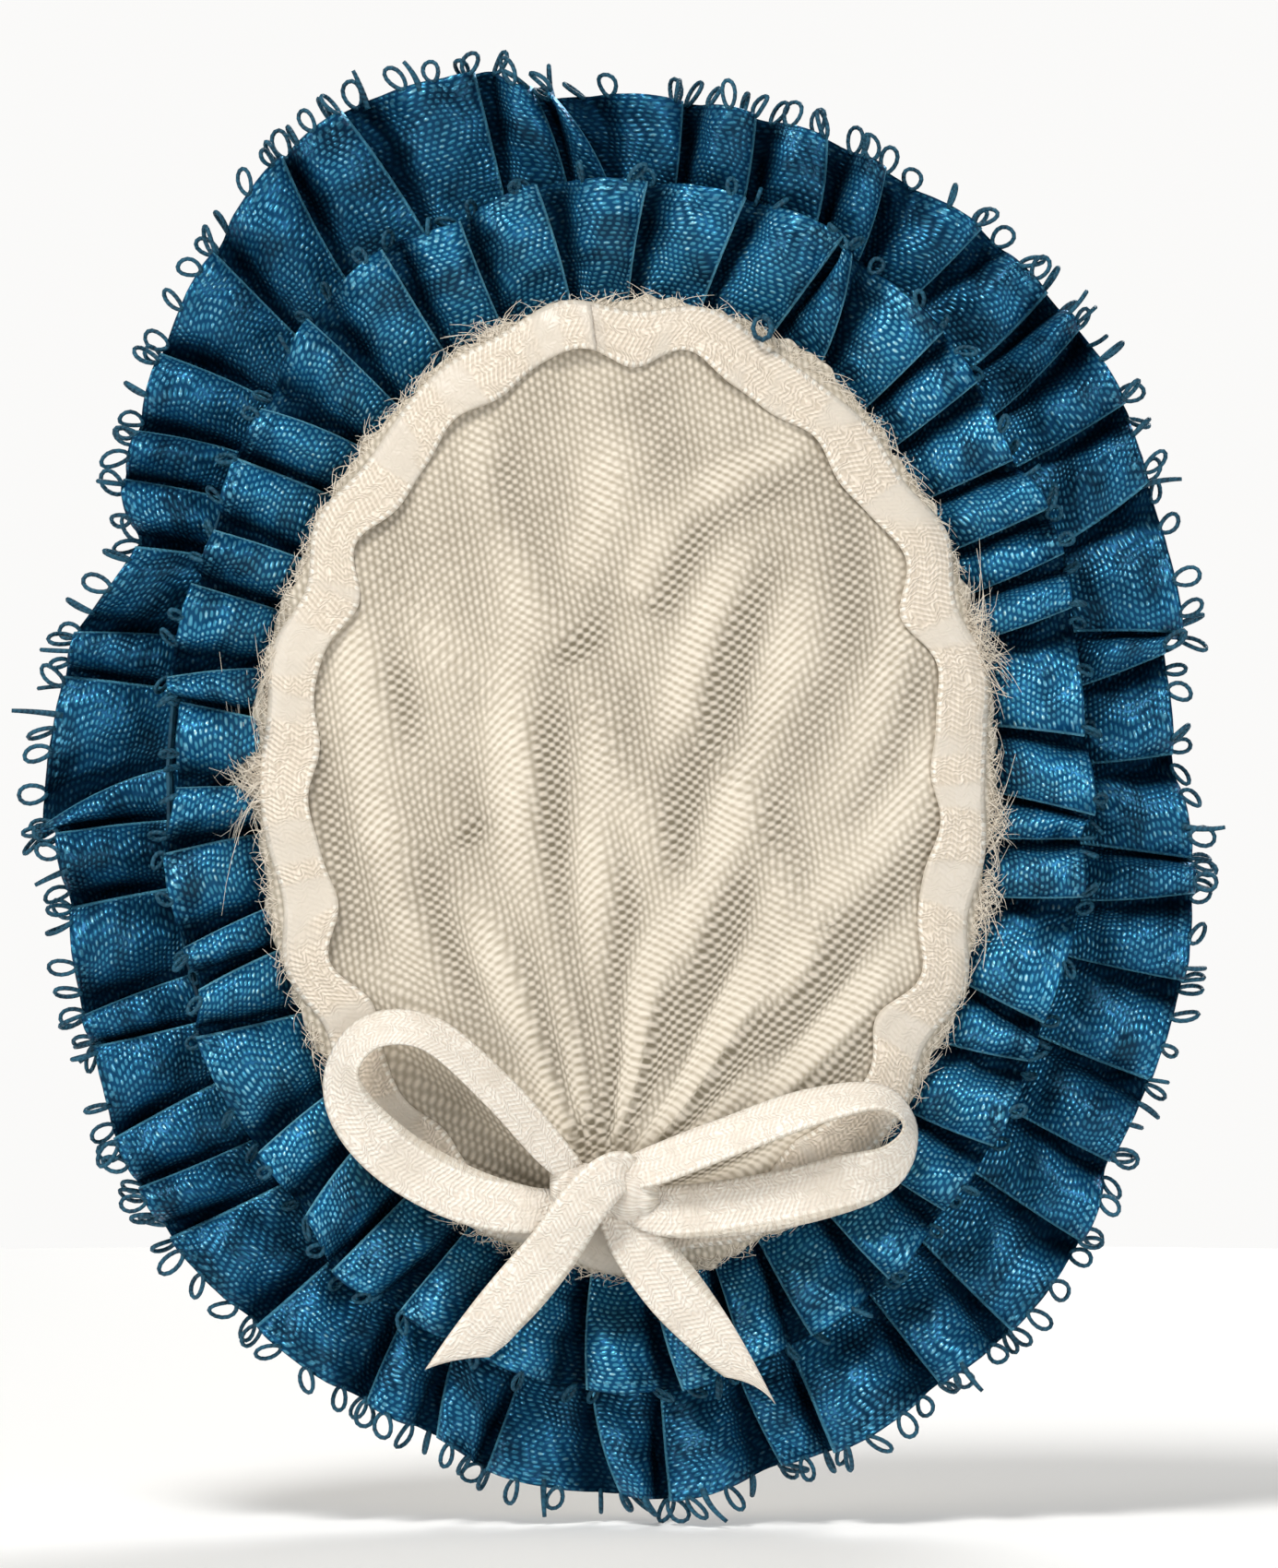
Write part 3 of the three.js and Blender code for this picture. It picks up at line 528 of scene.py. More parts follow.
def ivory_satin(name, warm, cool, patches):
    finish = Finish(name, {"Sheen Weight": 0.15, "Specular IOR Level": 0.55})
    along, across, fold = finish.lay()
    cloth = finish.vector(along, across, fold)
    wander = finish.noise(cloth, 0.8, 2.0)
    chevron = (across / 1.3 + wander * 1.6).zigzag() * 1.1
    floats = (along / NARROW_FLOAT + chevron + wander * 4.0).wave()
    ribs = (across / NARROW_RIB + wander * 1.5).wave()
    patch = finish.noise(finish.vector(along * 0.32, across * 0.1, 4.0), 1.0, 1.0)
    pressed = patch.between(0.5, 0.6) * patches
    cell = (along / NARROW_FLOAT + wander * 2.0).floor()
    luck = finish.speckle(cell, (across / NARROW_RIB).floor(), 5.0)
    texture = (floats.between(0.1, 0.8) * 0.65 + ribs * 0.35) * (1.0 - pressed * 0.75)
    edge = (across / (NARROW_WIDTH / 2) - 1.0).math("ABSOLUTE")
    selvedge = edge.between(0.88, 0.99)
    # The weft loops just inside each selvedge are painted as near-white dots, a painted highlight on real
    # loops.
    glinting_teeth = edge.between(0.78, 0.86) * (along / 0.55).wave().between(0.4, 0.8) * (1.0 - pressed)
    tone = finish.mix(texture * (0.5 + luck * 0.5), srgb(*cool), srgb(*warm))
    smooth = finish.mix(pressed, tone, srgb(214, 204, 189))
    toothed = finish.mix(glinting_teeth * 0.8, smooth, srgb(255, 250, 238))
    colour = finish.mix(selvedge * 0.45, toothed, srgb(178, 165, 143))
    height = texture + selvedge * 0.6 + finish.noise(cloth, 0.5, 2.0) * 5.0
    finish.feed(Base_Color=colour, Roughness=0.47 - pressed * 0.08, Normal=finish.bump(height, 0.06, 0.9))
    return finish.material


def fibrous(name, low, high, scale, depth, roughness, twist=0.0):
    """A soft finish: two close tones in a fine noise, with an optional thread's twist."""
    finish = Finish(name, {"Sheen Weight": 0.3, "Specular IOR Level": 0.25, "Roughness": roughness})
    place = finish.space()
    grain = finish.noise(place, scale, 4.0)
    height = grain + finish.noise(place, scale * 4, 2.0) * 0.5
    if twist:
        along, around, _ = finish.lay()
        height = (along / twist + around / (2 * math.pi)).wave() + grain * 0.4
    finish.feed(Base_Color=finish.mix(height.between(0.3, 1.0), srgb(*low), srgb(*high)))
    finish.feed(Normal=finish.bump(height, depth))
    return finish.material


TRIM_SATIN = ivory_satin("ivory trim satin", (246, 233, 216), (200, 186, 166), 0.9)
BOW_SATIN = ivory_satin("ivory bow satin", (250, 245, 234), (222, 209, 193), 0.45)
FRAY = fibrous("silk fibres", (205, 192, 172), (238, 228, 212), 1.5, 0.02, 0.7)
FELT = fibrous("ivory felt", (190, 178, 157), (226, 216, 198), 2.2, 0.09, 0.95)
IVORY_THREAD = fibrous("ivory thread", (196, 184, 162), (234, 224, 206), 1.2, 0.04, 0.7, twist=0.5)
CARD = fibrous("grey card", (142, 137, 126), (178, 172, 160), 0.7, 0.04, 0.9)
WADDING = fibrous("cotton wadding", (224, 218, 208), (244, 240, 234), 0.5, 0.2, 1.0)
print("made", [m.name for m in (TRIM_SATIN, BOW_SATIN, FRAY, FELT, IVORY_THREAD, CARD, WADDING)])

# %% [markdown]
# The pin is nickel-plated steel: a metal whose grey is slightly warm, dulled by fine rubbing
# along its length and by small clouds of tarnish. Both are noise in the roughness, because a
# metal shows wear by how sharply it reflects more than by its colour.

# %% Nickel
def nickel():
    finish = Finish("worn nickel", {"Metallic": 1.0})
    place = finish.space()
    right, back, up = finish.split(place)
    rubbed = finish.noise(finish.vector(right * 0.4, back * 6.0, up * 6.0), 1.0, 3.0)
    cloud = finish.noise(place, 0.35, 3.0)
    colour = finish.mix(cloud.between(0.35, 0.7), srgb(176, 170, 158), srgb(214, 210, 202))
    finish.feed(Base_Color=colour, Roughness=0.18 + rubbed * 0.2 + cloud * 0.12)
    finish.feed(Normal=finish.bump(rubbed, 0.01))
    return finish.material


NICKEL = nickel()
print("made", NICKEL.name)

# %% [markdown]
# The rosette is seen square from the front through a long lens, in the middle of a pale room.
# The strongest light stands above, one grazes the folds from the left, one fills from the right,
# and a broad one reaches the back, so the folds model themselves in light and dark.

# %% Camera, lights and world
VIEW_HEIGHT = 98.84
LENS_DISTANCE = 500.0
SENSOR = 36.0
AIM = np.array([1.16, 0.3, 4.0])
scene = bpy.context.scene
scene.view_settings.view_transform = "Standard"

eye = bpy.data.cameras.new("front view")
eye.sensor_width = SENSOR
eye.lens = SENSOR * LENS_DISTANCE / VIEW_HEIGHT
eye.clip_start, eye.clip_end = 0.01, 20
camera = bpy.data.objects.new("front view", eye)
camera.location = to_world(AIM + [0, 0, LENS_DISTANCE])[0]
camera.rotation_euler = (math.pi / 2, 0, 0)
scene.collection.objects.link(camera)
scene.camera = camera


def soft_light(name, place, size, power, colour=(1, 1, 1)):
    """A soft round light at a place in millimetres, turned towards the rosette."""
    lamp = bpy.data.lights.new(name, "AREA")
    lamp.shape, lamp.size, lamp.energy, lamp.color = "DISK", size * MM, power, colour
    piece = bpy.data.objects.new(name, lamp)
    spot = to_world(place)[0]
    piece.location = spot
    piece.rotation_mode = "QUATERNION"
    piece.rotation_quaternion = Vector(spot).to_track_quat("Z", "Y")
    scene.collection.objects.link(piece)


soft_light("key light", (-170, 520, 330), 200, 3.0, (1.0, 0.985, 0.965))
soft_light("side light", (-520, 40, 230), 140, 1.0, (1.0, 0.99, 0.97))
soft_light("fill light", (380, 20, 460), 260, 1.2, (0.96, 0.98, 1.0))
soft_light("back light", (200, 350, -500), 350, 2.5)

ROOM_LIGHT, ROOM_SEEN = 0.22, 0.96
world = bpy.data.worlds.new("pale room")
world.use_nodes = True
nodes, links = world.node_tree.nodes, world.node_tree.links
room = nodes["Background"]
room.inputs["Color"].default_value = (1.0, 0.995, 0.985, 1)
ray = nodes.new("ShaderNodeLightPath")
strength = nodes.new("ShaderNodeMapRange")
strength.inputs["To Min"].default_value, strength.inputs["To Max"].default_value = ROOM_LIGHT, ROOM_SEEN
links.new(ray.outputs["Is Camera Ray"], strength.inputs["Value"])
links.new(strength.outputs["Result"], room.inputs["Strength"])
scene.world = world
print("camera lens", round(eye.lens, 1), "mm")

# %% [markdown]
# Each tier is one long ribbon in knife pleats. Seen from its end, a pleat is a facet that rises
# from under the pleat before it, turns over a sharp fold, and runs back underneath before the
# next facet starts. Twelve control points describe that, in shares of the pitch, of the depth
# of the tuck and of the height, and a smooth spline runs through all the pleats without a
# break. The inner edge is sewn flat, and the pleats stand higher and opener towards the outer
# edge. Pitch, lean, height and tuck vary from pleat to pleat, as they do in hand work. A cloth
# simulation would have to be pinned at every fold to give the same, so the folds are drawn.

# %% Pleated tiers
# Along the ring in pitches, along it in tuck depths, height as a share, height in millimetres,
# how much of this pleat's own lean it takes, 1 at the fold or -1 in the hollow beside it, and
# how much it takes of the way that an open pleat draws in at its outer end.
PLEAT = np.array([
    (-1.00, -0.90, 0.04, 0.10, 0.0, -0.6, 0.0),
    (-1.00, -0.35, 0.06, 0.10, 0.0, -1.0, 0.0),
    (-0.91, 0.00, 0.10, 0.06, 0.1, -1.0, 0.0),
    (-0.82, 0.00, 0.46, 0.00, 0.3, -0.2, 0.05),
    (-0.66, 0.00, 0.86, 0.00, 0.5, 0.0, 0.2),
    (-0.44, 0.00, 1.06, 0.00, 0.75, 0.0, 0.5),
    (-0.22, 0.00, 1.00, 0.00, 0.92, 0.0, 0.8),
    (-0.06, 0.00, 0.84, 0.00, 1.0, 0.3, 1.0),
    (0.00, 0.00, 0.62, 0.00, 1.0, 1.0, 1.0),
    (-0.04, 0.00, 0.46, 0.00, 1.0, 0.2, 1.0),
    (0.00, -0.50, 0.28, 0.00, 1.0, -0.7, 1.0),
    (0.00, -1.00, 0.12, 0.10, 1.0, -0.8, 1.0),
])
SPLINE_STEPS = 3
# Shares of the ribbon's width, from its sewn edge to its open one.
ROWS = np.array([0, 0.08, 0.18, 0.29, 0.4, 0.51, 0.62, 0.72, 0.8, 0.87, 0.93, 0.97, 1.0])

# Waves round the ring and their height in millimetres: the small unevenness of handled ribbon.
RUMPLES = [(37, 0.22), (61, 0.2), (97, 0.14), (151, 0.09)]


def b_spline(controls):
    """A uniform cubic B-spline over the last axis, one span for each control but three."""
    t = np.arange(SPLINE_STEPS) / SPLINE_STEPS
    basis = np.stack([(1 - t) ** 3, 3 * t**3 - 6 * t**2 + 4, -3 * t**3 + 3 * t**2 + 3 * t + 1, t**3]) / 6
    spans = controls.shape[-1] - 3
    windows = np.stack([controls[..., i:i + spans] for i in range(4)], -1)
    return (windows @ basis).reshape(*controls.shape[:-1], -1)


def round_again(controls, step):
    """A ring's controls with one before the first and three after the last."""
    return np.concatenate([controls[..., -1:] - step, controls, controls[..., :3] + step], -1)


def pleated_ring(inner, pleats, seed, shape, bulges):
    """Points and cloth measures of a pleated ribbon: rows across it, columns along it."""
    luck = np.random.default_rng(seed)
    pitch = 1 + luck.uniform(-1, 1, pleats) * shape["uneven"]
    fold = np.cumsum(pitch) / pitch.sum()
    pitch = pitch / pitch.sum()
    crest = luck.uniform(0.6, 1.15, pleats)
    flare = luck.uniform(-0.3, 1.3, pleats)
    tuck = luck.uniform(0.8, 1.25, pleats)
    lean = luck.normal(0, shape["lean"], pleats)
    shift = luck.uniform(-0.6, 0.6, pleats)
    clock, push = np.array(bulges).T
    shift = shift + np.interp(inner.clock(fold), clock, push)

    v = ROWS[:, None, None]
    round_at = inner.length + 2 * math.pi * v * RIBBON_WIDTH
    height = shape["pressed"] + shape["crest"] * crest[:, None] * smoothstep(v, *shape["rises"])
    height = height + 0.7 * flare[:, None] * smoothstep(v, 0.72, 1)
    depth = (1.75 - 0.75 * v) * tuck[:, None]
    drawn_in = (luck.random(pleats) ** 1.5 * shape["opens"])[:, None]
    a, b, c, d, own, near, opens = PLEAT.T
    lean_before = np.roll(lean, 1)[:, None]
    leaning = (lean_before + own * (lean[:, None] - lean_before)) * v**1.5
    shift_before = np.roll(shift, 1)[:, None]
    shifting = np.broadcast_to(shift_before + own * (shift[:, None] - shift_before), leaning.shape)
    share = fold[:, None] + a * pitch[:, None] + (b * depth + leaning - opens * drawn_in * v**2) / round_at
    rise = c * height + d + shape["back"] + shape["lift"] * smoothstep(v, *shape["lifts"])
    near = np.broadcast_to(near * np.ones((pleats, 1)), share.shape)

    flat = (len(ROWS), -1)
    columns = pleats * len(PLEAT) * SPLINE_STEPS + 1
    share = b_spline(round_again(share.reshape(flat), 1))[:, :columns]
    rise, near, shifting = (
        b_spline(round_again(values.reshape(flat), 0))[:, :columns] for values in (rise, near, shifting)
    )
    place, out = inner.at(share)
    v = ROWS[:, None]
    for waves, size in RUMPLES:
        phase = luck.random(2)
        ripple = np.sin(2 * math.pi * (waves * share + phase[0] + 1.7 * v))
        rise = rise + size * smoothstep(v, 0.2, 1) * ripple
    spread = v * RIBBON_WIDTH + np.minimum(shifting, 0.5) * (1 - v) + shifting * v
    seen = place + out * spread[..., None]
    points = np.concatenate([seen, rise[..., None]], -1)
    middle = len(ROWS) // 2
    lay = np.stack([
        np.broadcast_to(distance_along(points[middle]), share.shape),
        np.broadcast_to(v * RIBBON_WIDTH, share.shape),
        np.clip(near, -1, 1),
    ], -1)
    return points, lay


print("one pleat has", len(PLEAT), "controls and", len(ROWS), "rows")

# %% The two tiers
REAR_PLEATS, FRONT_PLEATS = 48, 43
back_of_ribbon = front_box("rear_ruffle_ribbon")[0][2]
# How unevenly the pleats are spaced, how much they lean and open, how high they stand sewn down
# and open, between which shares of the width they rise, and how the front tier climbs the rear.
rear_shape = dict(
    uneven=0.34, lean=1.3, opens=1.6, pressed=0.8, crest=2.6, rises=(0.22, 0.75),
    back=back_of_ribbon, lift=0.0, lifts=(0, 1),
)
front_shape = dict(
    uneven=0.27, lean=1.1, opens=1.4, pressed=0.8, crest=2.6, rises=(0.05, 0.8),
    back=back_of_ribbon, lift=1.4, lifts=(0.17, 0.79),
)
# How far the rear ribbon stands out or in from its oval, by clock angle.
REAR_BULGES = [
    (0, -1.3), (15, -2.1), (30, 0.4), (45, 0.1), (65, 0.1), (78, -2.3), (92, -1.5), (110, 0.5), (122, -0.4),
    (144, 0.4), (153, -0.9), (165, -0.2), (180, -1.0), (200, -2.3), (222, 0.2), (240, -0.9), (258, -1.6),
    (275, -0.7), (287, -0.9), (300, -3.7), (312, -1.4), (327, 1.5), (340, 2.7), (350, 1.6), (360, -1.3),
]
FRONT_BULGES = [(0, 0.2), (60, 0.3), (120, -0.3), (200, 0.4), (300, -0.2), (330, 0.6), (360, 0.2)]
RIBBON_THICKNESS = 0.13


def pleated_tier(name, node, grid, satin):
    points, lay = grid
    rows, columns = points.shape[:2]
    piece = make_piece(name, points, grid_faces(rows, columns), satin, "root", lay, RIBBON_THICKNESS)
    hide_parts(node)
    print(name, "is", round(lay[0, -1, 0]), "mm of ribbon,", points.shape[1], "columns")
    return piece


rear_grid = pleated_ring(rear_inner, REAR_PLEATS, 11, rear_shape, REAR_BULGES)
front_grid = pleated_ring(front_inner, FRONT_PLEATS, 5, front_shape, FRONT_BULGES)
rear_pleats = pleated_tier("rear_pleats", "rear_ruffle_ribbon", rear_grid, REAR_SATIN)
front_pleats = pleated_tier("front_pleats", "front_ruffle_ribbon", front_grid, FRONT_SATIN)

# %% [markdown]
# The ribbon's edges are finished with picots: tiny loops of a weft thread, one each 2.3
# millimetres along the rear ribbon. Fewer and smaller ones are made on the front ribbon, where
# most are tucked against the pleats behind. Each is a thin tube round a teardrop, set where the
# pleated edge has gone, so it rides over the folds. They lie at all angles, some edge on.

# %% Picot loops and thread ends
PICOT_RADIUS = 0.145


def picot_paths(grid, seed, spacing, size):
    """Loops along the outer edge of a pleated ribbon."""
    luck = np.random.default_rng(seed)
    points, lay = grid
    edge, inside, along = points[-1], points[-3], lay[-1, :, 0]
    outward, forward = unit(edge - inside), unit(np.gradient(edge, axis=0))
    paths = []
    for at in np.arange(spacing / 2, along[-1], spacing):
        at += luck.normal(0, 0.2 * spacing)
        foot, out, ahead = (
            np.array([np.interp(at, along, column) for column in values.T])
            for values in (edge, outward, forward)
        )
        face = unit(np.cross(out, ahead))
        out = unit(out + face * luck.normal(0.1, 0.3) + ahead * luck.normal(0, 0.3))
        turn = luck.normal(0, 0.55)
        side = unit(unit(ahead) * math.cos(turn) + face * math.sin(turn))
        length, half = luck.uniform(1.35, 1.85) * size, luck.uniform(0.52, 0.72) * size
        swing = np.linspace(0, 2 * math.pi, 15)
        reach = (1 - np.cos(swing)) / 2
        wide = half * np.sin(swing) * (0.68 + 0.32 * reach)
        bend = face * (0.3 * luck.normal() * reach**2)[:, None]
        paths.append(foot + out * (reach * length - 0.15)[:, None] + side * wide[:, None] + bend)
    return paths


def add_picots(name, grid, seed, spacing, size):
    paths = picot_paths(grid, seed, spacing, size)
    piece = tube_piece(name, paths, [PICOT_RADIUS] * len(paths), BLUE_THREAD, "root")
    print(name, "has", len(paths), "loops")
    return piece


rear_picots = add_picots("rear_picots", rear_grid, 21, 2.3, 1.0)
front_picots = add_picots("front_picots", front_grid, 22, 3.9, 0.7)

# %% Loose thread ends
# Clock angle and length of each loose end that stands out at the edge.
LOOSE_ENDS = [
    (340, 2.6), (346, 2.0), (64, 2.4), (94, 2.6), (148, 2.2),
    (171, 2.2), (187, 2.4), (242, 1.8), (260, 2.2), (277, 3.2),
]


def loose_end_paths():
    luck = np.random.default_rng(31)
    points = rear_grid[0]
    middle = points[-1].mean(axis=0)[:2]
    clock = np.degrees(np.arctan2(points[-1, :, 0] - middle[0], points[-1, :, 1] - middle[1])) % 360
    paths = []
    for angle, length in LOOSE_ENDS:
        near = np.argsort(np.abs(clock - angle))[:8]
        foot = points[-1, near[np.argmax(np.linalg.norm(points[-1, near, :2] - middle, axis=1))]]
        out = unit(np.append(foot[:2] - middle, 0))
        side = np.array([out[1], -out[0], 0])
        t = np.linspace(0, 1, 9)[:, None]
        curl = side * luck.normal(0, 0.6) * t**2 + np.array([0, 0, 1]) * luck.normal(0.2, 0.3) * t
        paths.append(foot - out * 0.5 + out * t * length + curl + side * luck.normal(0, 0.3) * t)
    return paths


ends = loose_end_paths()
# One picot of the ribbon's sewn edge has worked out over the silk, near the top.
swing = np.linspace(0, 2 * math.pi, 9)
sine, cosine = np.sin(swing), np.cos(swing)
ends.append(np.column_stack([8.9 + 0.6 * sine, 28.9 + 0.75 * cosine, 6.35 - 0.2 * cosine]))
end_radius = np.linspace(0.22, 0.13, 9)
loose_ends = tube_piece("loose_thread_ends", ends, [end_radius] * len(ends), BLUE_THREAD, "root")
print("loose ends", len(ends))
# The flat width is taken over the loops of both edges. The area is the woven band's alone.
# The rear and front ribbons' lengths in metres and the areas of their woven bands alone are worked out below,
# and not kept.
rear_length, front_length = (grid[1][0, -1, 0] for grid in (rear_grid, front_grid))
round(rear_length * MM, 3)
round(RIBBON_WIDTH * rear_length * MM * MM, 7)
round(front_length * MM, 3)
round(RIBBON_WIDTH * front_length * MM * MM, 7)

# %% [markdown]
# The silk is stretched over a thin pad of wadding and pulled in below, where the bow is sewn
# through it, so long soft wrinkles fan up from the knot. Its surface is one function: a low
# dome with a ridge along each wrinkle. The pad, the trim and the bow all ask that function
# where the silk is, so they lie on it. The cloth's own measures slide a little down each
# slope, so the weave bends over the wrinkles as it does in cloth.

# %% The silk's surface
EDGE_UP, DOME_RISE = 5.3, 2.0
# Each wrinkle: places it runs through from the knot upwards, its width, and its height in slack
# silk. Stretched over the pad, it keeps only this share of that height.
DRAWN_DOWN = 0.42
WRINKLES = [
    (
        [(-1.0, -24.5), (1.8, -14.5), (4.4, -7.4), (0.8, 0.2), (-2.1, 7.6), (-1.3, 14.8), (1.2, 23.5)],
        1.9, 0.30,
    ),
    (
        [(0.2, -24.5), (7.2, -15.6), (11.8, -10.6), (9.0, -2.4), (5.4, 4.4), (7.4, 12.3), (12.4, 19.5)],
        1.7, 0.28,
    ),
    ([(-1.6, -24.5), (-4.6, -14.4), (-7.8, -9.4), (-11.9, -4.6), (-17.6, -1.0)], 1.6, 0.24),
    ([(-1.4, -23.5), (-3.4, -11.0), (-4.6, -2.4), (-6.8, 4.6), (-11.6, 9.2), (-16.2, 17.0)], 1.6, 0.25),
    ([(0.6, -24.5), (6.0, -21.0), (12.4, -17.0), (17.4, -11.0)], 1.6, 0.23),
    ([(12.4, -9.5), (14.2, -2.0), (17.0, 4.2), (18.4, 11.5)], 1.6, 0.21),
    ([(-2.2, 8.0), (-5.4, 12.6), (-7.9, 18.6), (-8.2, 24.6)], 1.5, 0.20),
    ([(1.2, 10.6), (4.6, 16.8), (10.6, 20.4), (13.0, 23.0)], 1.5, 0.17),
    ([(-1.8, -23.0), (-7.6, -17.8), (-12.6, -13.8), (-17.6, -10.2)], 1.5, 0.20),
    ([(-8.8, -3.6), (-12.8, 1.6), (-15.4, 7.2), (-17.6, 10.4)], 1.4, 0.16),
    ([(1.0, -18.0), (0.2, -8.0), (-2.6, -1.0), (-6.0, 1.6)], 1.4, 0.16),
]
# Finer folds that spread evenly from where the bow is sewn through.
FAN_FOOT = (-1.5, -25.0)
FAN_FOLDS, FAN_HEIGHT = 13, 0.045
RASTER_STEP = 0.25


def wrinkle_raster():
    """The height of all the wrinkles on an even net of places, and that net's lowest corner."""
    low, high = silk_edge.centre - silk_edge.half - 1.5, silk_edge.centre + silk_edge.half + 1.5
    net = np.stack(np.meshgrid(*(np.arange(a, b, RASTER_STEP) for a, b in zip(low, high)), indexing="ij"), -1)
    lift = np.zeros(net.shape[:-1])
    for line, width, height in WRINKLES:
        path = through(np.column_stack([line, np.zeros(len(line))]), 60)[0][:, :2]
        away = np.linalg.norm(net[:, :, None] - path, axis=-1)
        share = away.argmin(axis=-1) / (len(path) - 1)
        strength = smoothstep(share, 0, 0.12) * (1 - smoothstep(share, 0.75, 1.0))
        lift += DRAWN_DOWN * height * strength * np.exp(-((away.min(axis=-1) / width) ** 2))
    spread = net - FAN_FOOT
    far = np.linalg.norm(spread, axis=-1)
    turn = np.arctan2(spread[..., 0], spread[..., 1])
    folds = (FAN_FOLDS + 0.3 * far) * turn
    fan = np.sin(folds + 1.8 * np.sin(0.13 * far + 0.5))
    fan = fan + 0.5 * np.sin(1.7 * folds - 1.4 * np.sin(0.17 * far + 1.0))
    lift += FAN_HEIGHT * fan * smoothstep(far, 1.0, 9.0) * (1 - 0.3 * smoothstep(far, 30.0, 52.0))
    reach = np.linalg.norm((net - silk_edge.centre) / silk_edge.half, axis=-1)
    return low, lift * (1 - smoothstep(reach, 0.8, 0.97))


raster_low, raster = wrinkle_raster()
raster_slopes = [slope / RASTER_STEP for slope in np.gradient(raster)]


def from_raster(values, seen):
    """A net's values at places seen from the front, straight between its points."""
    place = np.clip((np.asarray(seen, float) - raster_low) / RASTER_STEP, 0, np.array(values.shape) - 1.001)
    i, j = place.astype(int)[..., 0], place.astype(int)[..., 1]
    p, q = place[..., 0] - i, place[..., 1] - j
    near = values[i, j] * (1 - p) + values[i + 1, j] * p
    far = values[i, j + 1] * (1 - p) + values[i + 1, j + 1] * p
    return near * (1 - q) + far * q


def silk_up(seen):
    """The silk's height towards the viewer at places seen from the front."""
    seen = np.asarray(seen, float)
    reach = np.linalg.norm((seen - silk_edge.centre) / silk_edge.half, axis=-1)
    dome = EDGE_UP + DOME_RISE * np.clip(1 - reach**2, 0, 1) ** 0.72
    return dome + from_raster(raster, seen) - 0.5 * smoothstep(reach, 0.96, 1.04)


print("wrinkles", len(WRINKLES), "up to", round(float(raster.max()), 2), "mm high")

# %% Silk cover
def oval_net(inset, count, ragged=0.0, seed=0):
    """An even net of places over the silk's oval: a square net drawn into a round one."""
    luck = np.random.default_rng(seed)
    u, v = np.meshgrid(np.linspace(-1, 1, count), np.linspace(-1, 1, count), indexing="xy")
    disc = np.stack([u * np.sqrt(1 - v**2 / 2), v * np.sqrt(1 - u**2 / 2)], -1)
    turn = np.arctan2(disc[..., 0], disc[..., 1]) / (2 * math.pi)
    ripple = np.zeros_like(turn)
    for waves, size in ((3, 0.35), (7, 0.3), (13, 0.3), (29, 0.25), (61, 0.25), (97, 0.2)):
        ripple += size * np.sin(2 * math.pi * (waves * turn + luck.random()))
    reach = np.linalg.norm(disc, axis=-1) ** 3
    grown = silk_edge.half - inset + (ripple * ragged * reach)[..., None]
    return silk_edge.centre + disc * grown


seen = oval_net(0, 250, ragged=0.45, seed=41)
up = silk_up(seen)
slope_right, slope_up = (from_raster(slope, seen) for slope in raster_slopes)
SLIDE = 3.5  # millimetres that the weave moves down a slope of one
# How much each place faces the light from the upper left; the silk's finish paints light and shade from it.
facing_light = np.clip((slope_right * 0.9 - slope_up * 0.8) * 6.5, -1, 1)
silk_lay = np.stack([seen[..., 0] + SLIDE * slope_right, seen[..., 1] + SLIDE * slope_up, facing_light], -1)
silk_points = np.concatenate([seen, up[..., None]], -1)
silk = make_piece("silk_oval", silk_points, grid_faces(*up.shape), IVORY_SILK, "root", silk_lay, 0.22)
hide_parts("silk_cover")
print("silk stands", up.min().round(2), "to", up.max().round(2), "mm in front of the felt's rear face")

# %% Padding
PAD_INSET, PAD_UNDER, PAD_COUNT = 1.5, 0.36, 70
pad_base = front_box("centre_padding")[0][2] + 0.02
seen = oval_net(PAD_INSET, PAD_COUNT)
lumps = 0.04 * np.sin(seen[..., 0] * 1.3) * np.cos(seen[..., 1] * 1.1)
pad_top = np.maximum(silk_up(seen) - PAD_UNDER + lumps, pad_base + 0.3)
pad_faces = (pad_top, np.full_like(pad_top, pad_base))
pad_points = np.concatenate([np.concatenate([seen, up[..., None]], -1).reshape(-1, 3) for up in pad_faces])
top = grid_faces(PAD_COUNT, PAD_COUNT)
under = [[corner + PAD_COUNT**2 for corner in reversed(quad)] for quad in top]
n = PAD_COUNT
rim = [
    *range(n), *range(2 * n - 1, n * n, n),
    *range(n * n - 2, n * n - n - 1, -1), *range(n * n - 2 * n, 0, -n),
]
side = [[b, a, a + n * n, b + n * n] for a, b in zip(rim, rim[1:] + rim[:1])]
faces = top + under + side
padding = make_piece("padding_oval", pad_points, faces, WADDING, "root")
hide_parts("centre_padding")
print("padding rises to", round(float(pad_top.max()), 2), "mm")

# %% [markdown]
# The silk's raw edge is frayed. Loose fibres stand out all round it, longer where yarns have
# pulled free, and there they lie in tufts across the pleats. Real fibres are far
# thinner than anything a mesh should hold, so each tube here stands for a few of them.

# %% Frayed edge
# Clock angle, spread in degrees, number of fibres and length of each tuft.
TUFTS = [
    (271, 2.2, 130, 4.0), (68, 3.0, 90, 2.8), (95, 2.6, 60, 2.1),
    (108, 2.6, 60, 2.3), (343, 1.6, 24, 2.4), (288, 3.0, 40, 1.7),
]
EDGE_FIBRES = 1500


